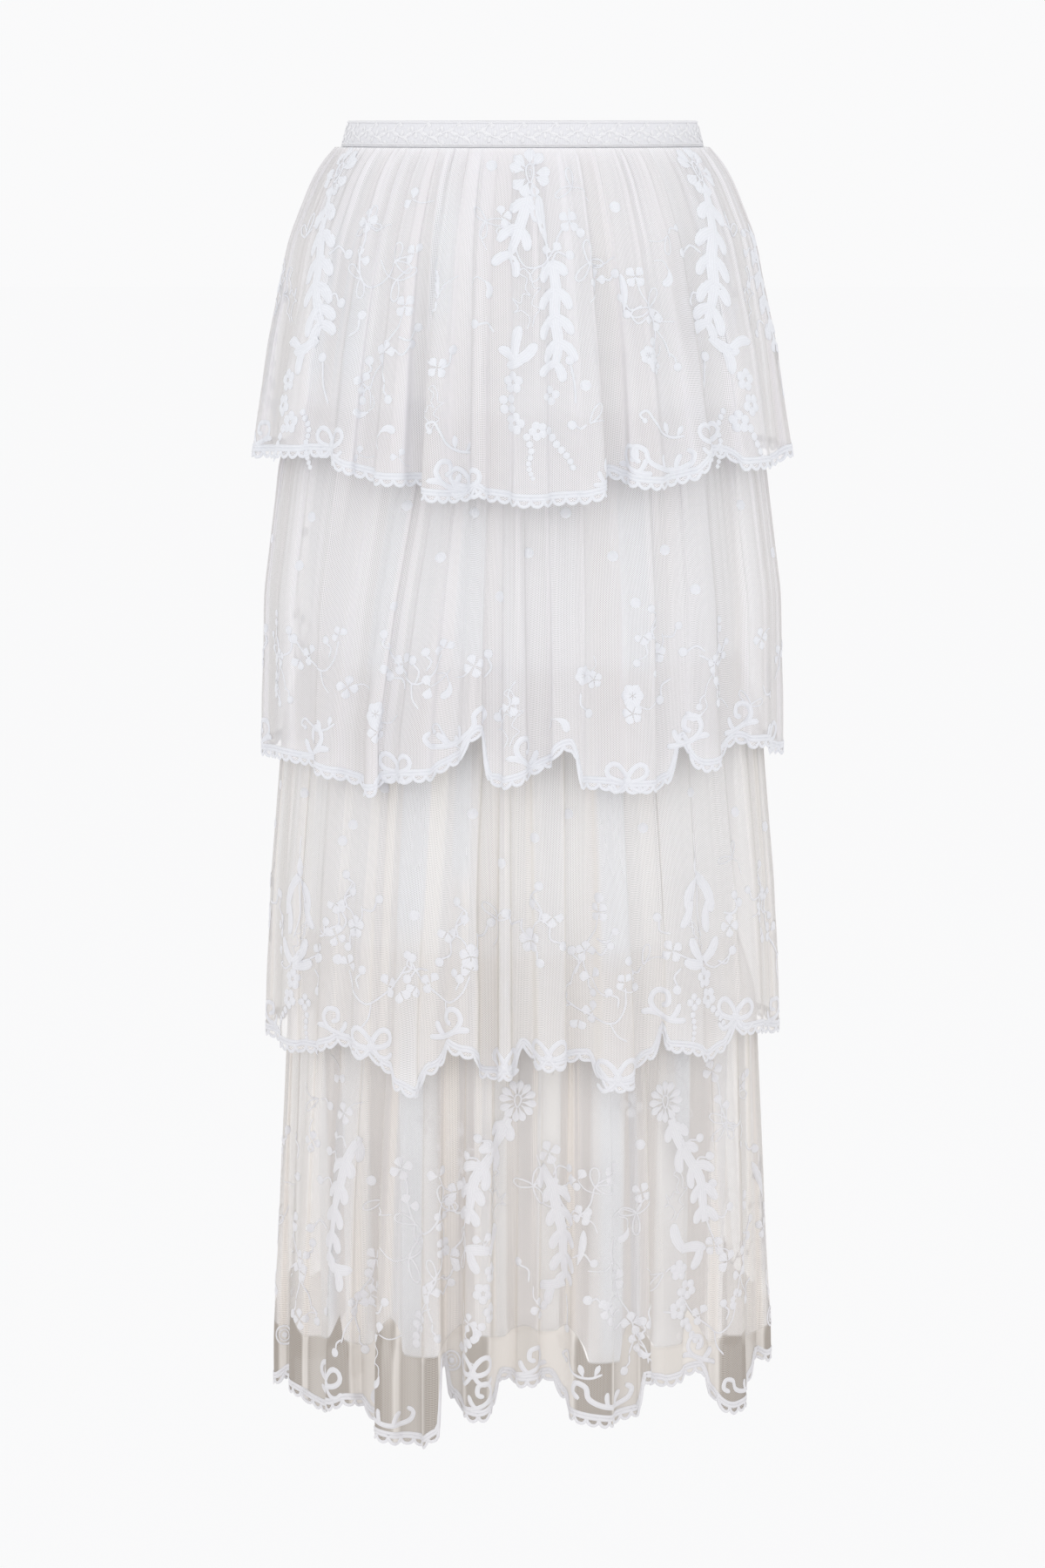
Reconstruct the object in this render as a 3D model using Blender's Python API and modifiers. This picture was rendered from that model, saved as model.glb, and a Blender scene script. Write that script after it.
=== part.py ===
"""Tiered ruffle skirt: a waistband, a slip lining and four gathered net tiers with corded hems.

The skirt keeps the hollow form it has when worn. Its origin is the middle of the waist opening
at half the height of the waistband, +Z is up and the front faces -Y. Every piece is one cloth
wall: a sheet laid on an oval tube, pushed in between its folds, and thickened outwards.
"""
from collections import namedtuple

import bmesh
import bpy
import numpy as np
from mathutils import Matrix, Vector

for leftover in list(bpy.data.objects):
    bpy.data.objects.remove(leftover, do_unlink=True)

# ---------------------------------------------------------------- driving dimensions, in metres
SEAM_GAP = 0.0003           # between pieces that are sewn edge to edge
CLOTH = 0.0013              # thickness of a net tier's wall
HEM_CORD = 0.0022           # thickness of a tier's wall at its corded hem
LINING = 0.0012             # thickness of the lining's wall
BAND_HEIGHT = 0.0180        # height of the waistband
BAND_THICKNESS = 0.0030     # doubled ribbon with its turnings
BAND_LOWER = (0.1310, 0.0957)   # inner half width and half depth of its lower edge
BAND_UPPER = (0.1256, 0.0922)   # and of its upper edge, which sits closer
BAND_STEPS = 48             # facets round the waistband
BORDER_HEIGHT = 0.012       # height of the corded border above a tier's hem
SEAM_STRIP = 0.003          # flat strip beside a side seam
FOLD_STEPS = 6              # facets across one fold
WALL_STEEPNESS = 0.42       # 0 gives round waves, 0.5 gives folds with upright sides
OVAL_POINTS = 361           # points that measure half of an oval's girth

# An oval level: height above the origin, outer half width and half depth over the fold crests,
# and how deep the folds are pushed in at the sides and at the front.
Level = namedtuple("Level", "height half_width half_depth side_fold front_fold")

# A fold: its width along the hem, how far its left edge leans to the right at the top, how much
# of the full depth its crest rises, and how far the crest is tucked over its right neighbour.
Fold = namedtuple("Fold", "width lean rise tuck")

# A tier: its levels from top seam to hem, how much lower its hem is at the sides, how far a
# swag of the hem falls for each metre of cloth between its two bows, where the bows are as
# fold numbers, the bow that the back panel starts from, and its folds from left to right.
Tier = namedtuple("Tier", "levels side_drop swag_fall bows back_start folds")

LINING_LEVELS = [
    Level(-0.0095, 0.1322, 0.0968, 0.0000, 0.0000),
    Level(-0.0600, 0.1480, 0.1090, 0.0004, 0.0004),
    Level(-0.1300, 0.1540, 0.1145, 0.0005, 0.0005),
    Level(-0.1950, 0.1555, 0.1165, 0.0000, 0.0000),
    Level(-0.5800, 0.1550, 0.1160, 0.0000, 0.0000),
    Level(-0.8650, 0.1545, 0.1150, 0.0100, 0.0120),
]
LINING_WAVES = 6            # soft waves across one half at the lining's hem
LINING_WAVE_STEPS = 4       # facets across one wave

TIERS = {
    "tier1": Tier(
        levels=[
            Level(-0.0096, 0.1347, 0.0992, 0.0000, 0.0000),
            Level(-0.0300, 0.1500, 0.1115, 0.0020, 0.0030),
            Level(-0.0750, 0.1695, 0.1290, 0.0045, 0.0080),
            Level(-0.1500, 0.1858, 0.1470, 0.0100, 0.0180),
            Level(-0.2350, 0.1978, 0.1595, 0.0140, 0.0240),
        ],
        side_drop=-0.011, swag_fall=0.14, bows=[0, 1, 2, 4, 5.4, 8, 10, 11, 12], back_start=8,
        folds=[
            Fold(0.044, 0.000, 1.00, 0.000), Fold(0.077, 0.004, 1.00, 0.004),
            Fold(0.036, 0.006, 0.95, 0.005), Fold(0.047, 0.004, 0.90, 0.000),
            Fold(0.030, -0.006, 1.00, -0.008), Fold(0.024, -0.004, 0.80, 0.000),
            Fold(0.050, -0.002, 1.00, 0.000), Fold(0.036, 0.000, 0.92, 0.004),
            Fold(0.053, -0.002, 1.00, -0.006), Fold(0.036, -0.008, 0.90, 0.000),
            Fold(0.076, -0.010, 1.00, -0.004), Fold(0.046, -0.004, 1.00, 0.000),
        ]),
    "tier2": Tier(
        levels=[
            Level(-0.1950, 0.1583, 0.1193, 0.0012, 0.0012),
            Level(-0.2320, 0.1770, 0.1235, 0.0055, 0.0050),
            Level(-0.3300, 0.1900, 0.1440, 0.0075, 0.0170),
            Level(-0.4220, 0.1915, 0.1555, 0.0080, 0.0240),
        ],
        side_drop=0.012, swag_fall=0.27, bows=[0, 1, 2, 4, 5.3, 7, 9.2, 11, 12], back_start=7,
        folds=[
            Fold(0.036, 0.000, 1.00, 0.000), Fold(0.060, -0.004, 1.00, 0.000),
            Fold(0.046, -0.004, 0.85, -0.004), Fold(0.027, 0.026, 1.00, 0.004),
            Fold(0.048, 0.030, 1.00, 0.000), Fold(0.031, 0.010, 0.90, 0.003),
            Fold(0.035, 0.000, 0.95, 0.000), Fold(0.047, -0.004, 0.90, -0.005),
            Fold(0.049, 0.004, 1.00, 0.004), Fold(0.067, 0.010, 0.90, 0.000),
            Fold(0.060, 0.000, 1.00, -0.004), Fold(0.036, 0.000, 1.00, 0.000),
        ]),
    "tier3": Tier(
        levels=[
            Level(-0.3750, 0.1583, 0.1193, 0.0012, 0.0012),
            Level(-0.4200, 0.1758, 0.1232, 0.0045, 0.0045),
            Level(-0.5400, 0.1866, 0.1410, 0.0080, 0.0160),
            Level(-0.6320, 0.1902, 0.1535, 0.0095, 0.0235),
        ],
        side_drop=0.014, swag_fall=0.25, bows=[0, 1.2, 2.5, 5.2, 7.4, 9, 10.9, 12], back_start=9,
        folds=[
            Fold(0.038, 0.000, 1.00, 0.000), Fold(0.057, -0.002, 1.00, 0.003),
            Fold(0.034, -0.004, 0.90, 0.000), Fold(0.032, 0.000, 0.85, 0.000),
            Fold(0.038, 0.000, 0.95, 0.003), Fold(0.046, 0.008, 1.00, 0.005),
            Fold(0.020, 0.000, 0.70, 0.000), Fold(0.043, -0.003, 0.90, 0.004),
            Fold(0.052, 0.006, 1.00, 0.005), Fold(0.070, -0.002, 0.85, -0.004),
            Fold(0.066, -0.004, 1.00, 0.000), Fold(0.040, -0.006, 1.00, 0.000),
        ]),
    "tier4": Tier(
        levels=[
            Level(-0.5800, 0.1578, 0.1188, 0.0012, 0.0012),
            Level(-0.6250, 0.1735, 0.1215, 0.0055, 0.0040),
            Level(-0.7600, 0.1815, 0.1395, 0.0130, 0.0190),
            Level(-0.8880, 0.1868, 0.1505, 0.0190, 0.0290),
        ],
        side_drop=0.006, swag_fall=0.26, bows=[0, 2.5, 4.7, 6.4, 8, 9.6, 11, 12], back_start=8,
        folds=[
            Fold(0.038, 0.000, 1.00, 0.000), Fold(0.049, 0.000, 0.90, 0.000),
            Fold(0.055, 0.002, 1.00, 0.004), Fold(0.037, 0.000, 0.95, -0.003),
            Fold(0.029, -0.004, 1.00, 0.005), Fold(0.041, -0.002, 1.00, 0.003),
            Fold(0.036, 0.002, 0.45, 0.000), Fold(0.065, 0.006, 1.00, -0.004),
            Fold(0.020, 0.000, 0.60, 0.000), Fold(0.036, 0.000, 0.35, 0.000),
            Fold(0.074, 0.004, 1.00, -0.005), Fold(0.047, 0.006, 1.00, 0.000),
        ]),
}

# An embroidered spray: its name, its tier, the side of the skirt, the fold whose crest carries
# it, and the height of its flower.
Spray = namedtuple("Spray", "name tier side fold height")
SPRAYS = [
    Spray("spray_1", "tier1", "front", 1, -0.036), Spray("spray_2", "tier1", "front", 6, -0.036),
    Spray("spray_3", "tier1", "front", 10, -0.036), Spray("spray_4", "tier1", "back", 2, -0.036),
    Spray("spray_5", "tier1", "back", 5, -0.036), Spray("spray_6", "tier1", "back", 7, -0.036),
    Spray("spray_7", "tier4", "front", 2, -0.700), Spray("spray_8", "tier4", "front", 7, -0.700),
    Spray("spray_9", "tier4", "front", 10, -0.700), Spray("spray_10", "tier4", "back", 2, -0.700),
    Spray("spray_11", "tier4", "back", 7, -0.700), Spray("spray_12", "tier4", "back", 11, -0.700),
]
SPRAY_LIFT = 0.0011         # clearance of a spray above the net below it
SPRAY_THICKNESS = 0.0014    # thickness of a spray
PETALS = 6                  # petals of a spray's flower
PETAL_RADIUS = 0.0160       # centre of the flower to the tip of a petal
PETAL_NOTCH = 0.0105        # centre of the flower to the notch between two petals
BOUGH_LENGTH = 0.084        # each of the two leafy boughs below the flower
BOUGH_START = 0.0055        # a bough's distance from the middle line where it leaves the flower
BOUGH_SWING = 0.0070        # how much further out it swings half way down
BOUGH_STEPS = 7             # pieces along a bough
STEM_HALF_WIDTH = 0.0012    # bough between two leaves
LEAF_HALF_WIDTH = 0.0046    # bough at the widest of a leaf
LEAVES = 2.5                # leaves along a bough
SPRAY_FINEST = 0.0010       # shortest edge of a spray
SPRAY_REACH = 0.030         # cloth beside a crest that a spray may lie on
CUT_TOLERANCE = 0.00005     # a spray's corner this close to a crease moves onto it
NORMAL_STEP = 0.0005        # height on either side of a point that gives the cloth's slope

COLOURS = {
    "waistband": (0.80, 0.80, 0.82), "lining": (0.86, 0.85, 0.84), "tier1": (0.78, 0.77, 0.78),
    "tier2": (0.76, 0.75, 0.76), "tier3": (0.75, 0.73, 0.72), "tier4": (0.74, 0.71, 0.69),
    "spray": (0.88, 0.88, 0.90),
}
CLOTH_ROUGHNESS = 0.75


# ---------------------------------------------------------------- the shape of folded cloth
def level_at(levels, heights):
    """The oval's sizes at each height, as a Level of arrays."""
    known = np.array(levels)[::-1]
    return Level(heights, *(np.interp(heights, known[:, 0], column) for column in known.T[1:]))


def oval_angle(share, half_width, half_depth):
    """The angle on the half oval, from -90 degrees at the left side, at a share of its girth."""
    angles = np.linspace(-np.pi / 2, np.pi / 2, OVAL_POINTS)
    steps = np.hypot(half_width * np.diff(np.sin(angles)), half_depth * np.diff(np.cos(angles)))
    girth = np.concatenate([[0.0], np.cumsum(steps)])
    return np.interp(share * girth[-1], girth, angles)


def folds_across(folds, steps):
    """Every column of folded cloth: its share of the girth at the hem, its share at the top,
    how far it rises from the troughs, and its tuck in metres."""
    widths = np.array([fold.width for fold in folds])
    leans = np.array([fold.lean for fold in folds] + [0.0])
    leans[0] = 0.0
    hem_edges = np.concatenate([[0.0], np.cumsum(widths)])
    top_edges = hem_edges + leans
    columns = []
    for fold, hem, top, hem_end, top_end in zip(
            folds, hem_edges, top_edges, hem_edges[1:], top_edges[1:]):
        for turn in np.linspace(-np.pi, np.pi, steps, endpoint=False):
            across = 0.5 + (turn + WALL_STEEPNESS * np.sin(2 * turn)) / (2 * np.pi)
            crest = (1 + np.cos(turn)) / 2
            columns.append((hem + across * (hem_end - hem), top + across * (top_end - top),
                            fold.rise * crest, fold.tuck * crest))
    columns.append((hem_edges[-1], hem_edges[-1], 0.0, 0.0))
    hem_share, top_share, rise, tuck = np.array(columns).T
    return hem_share / hem_edges[-1], top_share / hem_edges[-1], rise, tuck


def cloth_points(levels, columns, heights):
    """Points of a front half's inner face, one for each column at its own height."""
    hem_share, top_share, rise, tuck = columns
    top, hem = levels[0].height, levels[-1].height
    down = np.clip((top - heights) / (top - hem), 0.0, 1.0)
    level = level_at(levels, heights)
    girth = np.pi * (level.half_width + level.half_depth) / 2
    share = top_share + (hem_share - top_share) * down + tuck * down / girth
    angle = np.array([oval_angle(*values) for values in zip(
        np.clip(share, 0.0, 1.0), level.half_width - CLOTH, level.half_depth - CLOTH)])
    sine, cosine = np.sin(angle), np.cos(angle)
    across, ahead = sine / level.half_width, cosine / level.half_depth
    length = np.hypot(across, ahead)
    inward = (level.side_fold * sine ** 2 + level.front_fold * cosine ** 2) * (1 - rise)
    return np.column_stack([
        (level.half_width - CLOTH) * sine - inward * across / length,
        -(level.half_depth - CLOTH) * cosine + inward * ahead / length,
        heights])


def with_seam_strips(points):
    """A row of points with both ends kept clear of the side seam, beside a flat strip."""
    ends = []
    for end in (points[0], points[-1]):
        at_seam = end.copy()
        at_seam[1] = -SEAM_GAP / 2
        end[1] = -SEAM_GAP / 2 - SEAM_STRIP
        ends.append(at_seam)
    return np.vstack([ends[0], points, ends[1]])


# ---------------------------------------------------------------- making the objects
def new_object(name, mesh, colour):
    """An object of the skirt with a material of its own, shaded smooth."""
    material = bpy.data.materials.new(name + "_cloth")
    material.use_nodes = True
    shader = material.node_tree.nodes["Principled BSDF"]
    shader.inputs["Base Color"].default_value = (*colour, 1.0)
    shader.inputs["Roughness"].default_value = CLOTH_ROUGHNESS
    material.diffuse_color = (*colour, 1.0)
    mesh.materials.append(material)
    mesh.shade_smooth()
    piece = bpy.data.objects.new(name, mesh)
    skirt.objects.link(piece)
    return piece


def thicken(piece, thickness, weights=None):
    """Give a sheet its wall outwards, as thick at each point as its weight says."""
    wall = piece.modifiers.new("wall", "SOLIDIFY")
    wall.thickness = thickness
    wall.offset = 1.0
    if weights is not None:
        group = piece.vertex_groups.new(name="thickness")
        for index, weight in enumerate(weights):
            group.add([index], weight, "REPLACE")
        wall.vertex_group = group.name


def sheet_from_rows(name, rows):
    """A grid sheet, bent so that its lines of points are the given rows, from top to hem."""
    shape = bmesh.new()
    bmesh.ops.create_grid(shape, x_segments=len(rows[0]) - 1, y_segments=len(rows) - 1, size=1.0)
    shape.verts.ensure_lookup_table()
    across = len(rows[0])
    for number, row in enumerate(reversed(rows)):
        for column, point in enumerate(row):
            shape.verts[number * across + column].co = point
    mesh = bpy.data.meshes.new(name)
    shape.to_mesh(mesh)
    shape.free()
    return mesh


def turned_to_back(rows):
    """The same rows on the other half of the skirt."""
    return [row * (-1, -1, 1) for row in rows]


def hem_heights(tier, bows, row):
    """The height of the hem at every column, from the swags that hang between its bows."""
    steps = np.linalg.norm(np.diff(row, axis=0), axis=1)
    cloth = np.concatenate([[0.0], np.cumsum(steps)])
    tops = np.interp(np.array(bows) * FOLD_STEPS, np.arange(len(cloth)), cloth)
    swag = np.clip(np.searchsorted(tops, cloth, side="right") - 1, 0, len(tops) - 2)
    length = tops[swag + 1] - tops[swag]
    fall = tier.swag_fall * length * np.sin(np.pi * (cloth - tops[swag]) / length)
    sideways = (row[:, 0] / np.abs(row[:, 0]).max()) ** 2
    return tier.levels[-1].height - tier.side_drop * sideways - fall


def tier_rows(tier, folds, bows):
    """The rows of one half of a tier, from its top seam to its swagged hem."""
    columns = folds_across(folds, FOLD_STEPS)
    count = len(columns[0])
    rows = [cloth_points(tier.levels, columns, np.full(count, level.height))
            for level in tier.levels]
    hem = hem_heights(tier, bows, rows[-1])
    rows[-1] = cloth_points(tier.levels, columns, hem + BORDER_HEIGHT)
    rows.append(cloth_points(tier.levels, columns, hem))
    return [with_seam_strips(row) for row in rows]


def back_half(tier):
    """The folds and bows of a tier's back: the same cloth, starting from another bow."""
    start, count = tier.back_start, len(tier.folds)
    folds = tier.folds[start:] + tier.folds[:start]
    bows = [bow - start for bow in tier.bows if bow >= start]
    bows += [bow - start + count for bow in tier.bows if 0 < bow <= start]
    return folds, bows


def make_waistband():
    """The ribbon round the waist: an oval strip, closer at its upper edge."""
    shape = bmesh.new()
    ring = bmesh.ops.create_circle(shape, segments=BAND_STEPS, radius=1.0)["verts"]
    upper = bmesh.ops.extrude_edge_only(shape, edges=shape.edges[:])["geom"]
    upper = [part for part in upper if isinstance(part, bmesh.types.BMVert)]
    for corners, height, (half_width, half_depth) in (
            (ring, -BAND_HEIGHT / 2, BAND_LOWER), (upper, BAND_HEIGHT / 2, BAND_UPPER)):
        for corner in corners:
            corner.co = Vector((corner.co.x * half_width, corner.co.y * half_depth, height))
    bmesh.ops.recalc_face_normals(shape, faces=shape.faces[:])
    mesh = bpy.data.meshes.new("waistband")
    shape.to_mesh(mesh)
    shape.free()
    thicken(new_object("waistband", mesh, COLOURS["waistband"]), BAND_THICKNESS)


def make_lining():
    """The slip under the net: two panels, smooth to the last seam and softly waved below it."""
    waves = [Fold(1.0, 0.0, 1.0, 0.0)] * LINING_WAVES
    columns = folds_across(waves, LINING_WAVE_STEPS)
    rows = [with_seam_strips(cloth_points(LINING_LEVELS, columns, np.full(len(columns[0]), z)))
            for z in (level.height for level in LINING_LEVELS)]
    for name, half in (("lining_front", rows), ("lining_back", turned_to_back(rows))):
        thicken(new_object(name, sheet_from_rows(name, half), COLOURS["lining"]), LINING)


def make_tiers():
    """Four gathered net tiers, each a front and a back panel with a thicker corded hem."""
    for name, tier in TIERS.items():
        front = tier_rows(tier, tier.folds, tier.bows)
        back = turned_to_back(tier_rows(tier, *back_half(tier)))
        for side, rows in (("front", front), ("back", back)):
            piece = new_object(f"{name}_{side}", sheet_from_rows(name, rows), COLOURS[name])
            cloth_share = CLOTH / HEM_CORD
            weights = [1.0] * len(rows[0]) + [cloth_share] * (len(rows[0]) * (len(rows) - 1))
            thicken(piece, HEM_CORD, weights)


def flat_spray():
    """A spray on flat cloth: a flower with two leafy boughs grown from its lower edge."""
    shape = bmesh.new()
    bmesh.ops.create_circle(shape, cap_ends=True, cap_tris=True, segments=2 * PETALS, radius=1.0)
    rim = [corner for corner in shape.verts if corner.is_boundary]
    rim.sort(key=lambda corner: np.arctan2(corner.co.y, corner.co.x))
    for number, corner in enumerate(rim):
        corner.co *= PETAL_RADIUS if number % 2 else PETAL_NOTCH
    for side in (-1, 1):
        start = Vector((side * BOUGH_START, -PETAL_NOTCH, 0.0))
        edge = min((edge for edge in shape.edges if edge.is_boundary),
                   key=lambda rim_edge: (sum((end.co for end in rim_edge.verts), Vector()) / 2
                                         - start).length)
        for step in range(1, BOUGH_STEPS + 1):
            part = step / BOUGH_STEPS
            leaf = abs(np.sin(np.pi * LEAVES * part))
            half = STEM_HALF_WIDTH + (LEAF_HALF_WIDTH - STEM_HALF_WIDTH) * leaf
            middle = start + Vector((side * BOUGH_SWING * np.sin(np.pi * part),
                                     -BOUGH_LENGTH * part, 0.0))
            grown = bmesh.ops.extrude_edge_only(shape, edges=[edge])["geom"]
            ends = [item for item in grown if isinstance(item, bmesh.types.BMVert)]
            ends.sort(key=lambda corner: corner.co.x)
            ends[0].co = middle - Vector((half, 0.0, 0.0))
            ends[1].co = middle + Vector((half, 0.0, 0.0))
            edge = next(item for item in grown if isinstance(item, bmesh.types.BMEdge))
    bmesh.ops.recalc_face_normals(shape, faces=shape.faces[:])
    if sum(face.normal.z for face in shape.faces) < 0:
        bmesh.ops.reverse_faces(shape, faces=shape.faces[:])
    return shape


def crease(shape, direction, offset):
    """Cut new edges into a flat shape along a straight line across it."""
    normal = Vector(direction)
    bmesh.ops.bisect_plane(shape, geom=shape.verts[:] + shape.edges[:] + shape.faces[:],
                           dist=CUT_TOLERANCE, plane_co=normal * offset, plane_no=normal)


def lay_on_cloth(shape, tier, folds, fold, height, lift):
    """Bend a flat shape onto the facets of folded cloth, centred on the crest of a fold."""
    columns = folds_across(folds, FOLD_STEPS)
    count = len(columns[0])
    row = cloth_points(tier.levels, columns, np.full(count, height - BOUGH_LENGTH / 2))
    cloth = np.concatenate([[0.0], np.cumsum(np.linalg.norm(np.diff(row, axis=0), axis=1))])
    cloth -= cloth[round((fold + 0.5) * FOLD_STEPS)]
    for edge in cloth[np.abs(cloth) < SPRAY_REACH]:
        crease(shape, (1.0, 0.0, 0.0), edge)
    for level in tier.levels:
        crease(shape, (0.0, 1.0, 0.0), level.height - height)
    bmesh.ops.remove_doubles(shape, verts=shape.verts[:], dist=SPRAY_FINEST)
    bmesh.ops.triangulate(shape, faces=shape.faces[:])
    flat = np.array([corner.co for corner in shape.verts])
    column = np.interp(flat[:, 0], cloth, np.arange(count))
    left = np.clip(np.floor(column + 1e-6), 0, count - 2).astype(int)
    share = (column - left)[:, None]

    def on_column(number, down):
        here = tuple(value[number] for value in columns)
        return cloth_points(tier.levels, here, height + flat[:, 1] + down)

    def normal_at(number):
        along = (on_column(np.minimum(number + 1, count - 1), 0.0)
                 - on_column(np.maximum(number - 1, 0), 0.0))
        normal = np.cross(along, on_column(number, NORMAL_STEP) - on_column(number, -NORMAL_STEP))
        return normal / np.linalg.norm(normal, axis=1)[:, None]

    points = (1 - share) * on_column(left, 0.0) + share * on_column(left + 1, 0.0)
    points += lift * ((1 - share) * normal_at(left) + share * normal_at(left + 1))
    for corner, point in zip(shape.verts, points):
        corner.co = point


def make_sprays():
    """Embroidered sprays, each raised on the crest of a fold."""
    for spray in SPRAYS:
        tier = TIERS[spray.tier]
        folds = tier.folds if spray.side == "front" else back_half(tier)[0]
        shape = flat_spray()
        lay_on_cloth(shape, tier, folds, spray.fold, spray.height, CLOTH + SPRAY_LIFT)
        if spray.side == "back":
            bmesh.ops.rotate(shape, verts=shape.verts[:], matrix=Matrix.Rotation(np.pi, 3, "Z"))
        mesh = bpy.data.meshes.new(spray.name)
        shape.to_mesh(mesh)
        shape.free()
        thicken(new_object(spray.name, mesh, COLOURS["spray"]), SPRAY_THICKNESS)


skirt = bpy.data.collections.new("tiered_ruffle_skirt")
bpy.context.scene.collection.children.link(skirt)

make_waistband()
make_lining()
make_tiers()
make_sprays()
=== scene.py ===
"""Tiered ruffle skirt: how its cloth, net and thread look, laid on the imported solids."""
from collections import namedtuple

import bmesh
import bpy
import numpy as np
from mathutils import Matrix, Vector


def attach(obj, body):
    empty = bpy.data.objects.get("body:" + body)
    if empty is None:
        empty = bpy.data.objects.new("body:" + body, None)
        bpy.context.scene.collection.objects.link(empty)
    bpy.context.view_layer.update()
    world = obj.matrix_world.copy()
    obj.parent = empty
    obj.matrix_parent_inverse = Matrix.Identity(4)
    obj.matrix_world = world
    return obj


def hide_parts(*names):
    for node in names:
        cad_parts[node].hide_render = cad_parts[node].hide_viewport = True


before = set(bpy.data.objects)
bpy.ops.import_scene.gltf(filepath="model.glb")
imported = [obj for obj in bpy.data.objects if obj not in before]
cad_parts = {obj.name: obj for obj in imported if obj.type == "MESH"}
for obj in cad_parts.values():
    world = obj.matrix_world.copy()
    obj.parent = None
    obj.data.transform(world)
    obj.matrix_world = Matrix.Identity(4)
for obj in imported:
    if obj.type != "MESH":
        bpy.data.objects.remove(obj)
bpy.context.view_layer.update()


# ---------------------------------------------------------------- studio
# The skirt hangs as worn, above a white floor that runs into a white surround. A large soft
# light on either side in front and one above keep the folds gently shaded.
CAMERA_TILT = np.radians(8.5)
CAMERA_DISTANCE = 3.3
CAMERA_LENS = 103.1             # millimetres, on a sensor 36 mm long
AIM = Vector((0.0, 0.0, -0.473))
WHITE = (0.955, 0.955, 0.96)    # the surround and the lit floor
FLOOR_HEIGHT = -1.25
FLOOR_REACH = 30.0
FLOOR_GLOW = 0.86               # share of the floor's white that doesn't depend on shadows
SOFT_LIGHTS = [                 # place, size in metres and power in watts
    ((-1.6, -3.3, 0.5), 2.4, 14.3), ((2.0, -3.1, 0.1), 2.4, 10.6), ((0.0, -1.2, 2.8), 2.6, 4.4)]

camera_data = bpy.data.cameras.new("camera")
camera_data.lens = CAMERA_LENS
camera_data.sensor_width = 36.0
camera = bpy.data.objects.new("camera", camera_data)
camera.location = AIM + CAMERA_DISTANCE * Vector((0.0, -np.cos(CAMERA_TILT), np.sin(CAMERA_TILT)))
camera.rotation_euler = (AIM - camera.location).to_track_quat("-Z", "Y").to_euler()
bpy.context.scene.collection.objects.link(camera)
bpy.context.scene.camera = camera

for number, (place, size, power) in enumerate(SOFT_LIGHTS):
    light_data = bpy.data.lights.new(f"soft_light_{number}", "AREA")
    light_data.size = size
    light_data.energy = power
    light = bpy.data.objects.new(f"soft_light_{number}", light_data)
    light.location = place
    light.rotation_euler = (AIM - Vector(place)).to_track_quat("-Z", "Y").to_euler()
    bpy.context.scene.collection.objects.link(light)

surround = bpy.data.worlds.new("white_surround")
surround.use_nodes = True
surround.node_tree.nodes["Background"].inputs["Color"].default_value = (*WHITE, 1.0)
bpy.context.scene.world = surround
bpy.context.scene.view_settings.view_transform = "Standard"

floor_shape = bmesh.new()
bmesh.ops.create_grid(floor_shape, x_segments=1, y_segments=1, size=FLOOR_REACH)
bmesh.ops.translate(floor_shape, verts=floor_shape.verts, vec=(0.0, 0.0, FLOOR_HEIGHT))
floor_mesh = bpy.data.meshes.new("floor")
floor_shape.to_mesh(floor_mesh)
floor_shape.free()
floor_paint = bpy.data.materials.new("white_floor")
floor_paint.use_nodes = True
floor_shader = floor_paint.node_tree.nodes["Principled BSDF"]
unlit_white = [part * (1 - FLOOR_GLOW) for part in WHITE]
floor_shader.inputs["Base Color"].default_value = (*unlit_white, 1.0)
floor_shader.inputs["Roughness"].default_value = 1.0
floor_shader.inputs["Specular IOR Level"].default_value = 0.0
floor_shader.inputs["Emission Color"].default_value = (*WHITE, 1.0)
floor_shader.inputs["Emission Strength"].default_value = FLOOR_GLOW
floor_mesh.materials.append(floor_paint)
floor = bpy.data.objects.new("floor", floor_mesh)
bpy.context.scene.collection.objects.link(floor)


# ---------------------------------------------------------------- lining
# A slip of soft white satin that carries the tiers: smooth down to the last seam, then
# hanging in soft waves to a hem well above the net's hem.
Level = namedtuple("Level", "height half_width half_depth side_fold front_fold")
Fold = namedtuple("Fold", "width lean rise tuck")
Columns = namedtuple("Columns", "fold hem top rise tuck side")
Cloth = namedtuple("Cloth", "heights fold points normals outward length column_at")

WALL_STEEPNESS = 0.42           # 0 gives round waves, 0.5 gives folds with upright sides
ROW_STEP = 0.0025               # between two heights at which the cloth's shape is worked out
LEVEL_ROUNDING = 0.030          # height over which the change of slope at a level is spread
OVAL_POINTS = 721
LOOKUP_STEPS = 2400             # even steps of cloth that the columns are looked up by
SEAM_GAP = 0.00002              # between the two ends of a sheet that closes round the skirt

LINING_LEVELS = [
    Level(-0.0095, 0.1322, 0.0968, 0.0000, 0.0000),
    Level(-0.0600, 0.1480, 0.1090, 0.0004, 0.0004),
    Level(-0.1300, 0.1540, 0.1145, 0.0005, 0.0005),
    Level(-0.1950, 0.1555, 0.1165, 0.0000, 0.0000),
    Level(-0.5800, 0.1550, 0.1160, 0.0000, 0.0000),
    Level(-0.7300, 0.1550, 0.1160, 0.0080, 0.0110),
    Level(-0.8650, 0.1545, 0.1150, 0.0130, 0.0170),
]
LINING_FOLDS = [
    Fold(0.050, 0.0, 0.8, 0.0), Fold(0.055, 0.0, 1.0, 0.0), Fold(0.061, 0.0, 1.0, 0.0),
    Fold(0.050, 0.0, 0.8, 0.0), Fold(0.037, 0.0, 0.7, 0.0), Fold(0.053, 0.0, 1.0, 0.0),
    Fold(0.060, 0.0, 1.0, 0.0), Fold(0.064, 0.0, 0.8, 0.0),
]
LINING_HEMS = [-0.886, -0.879, -0.881, -0.863, -0.859, -0.884, -0.878, -0.886]   # on each fold
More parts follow.
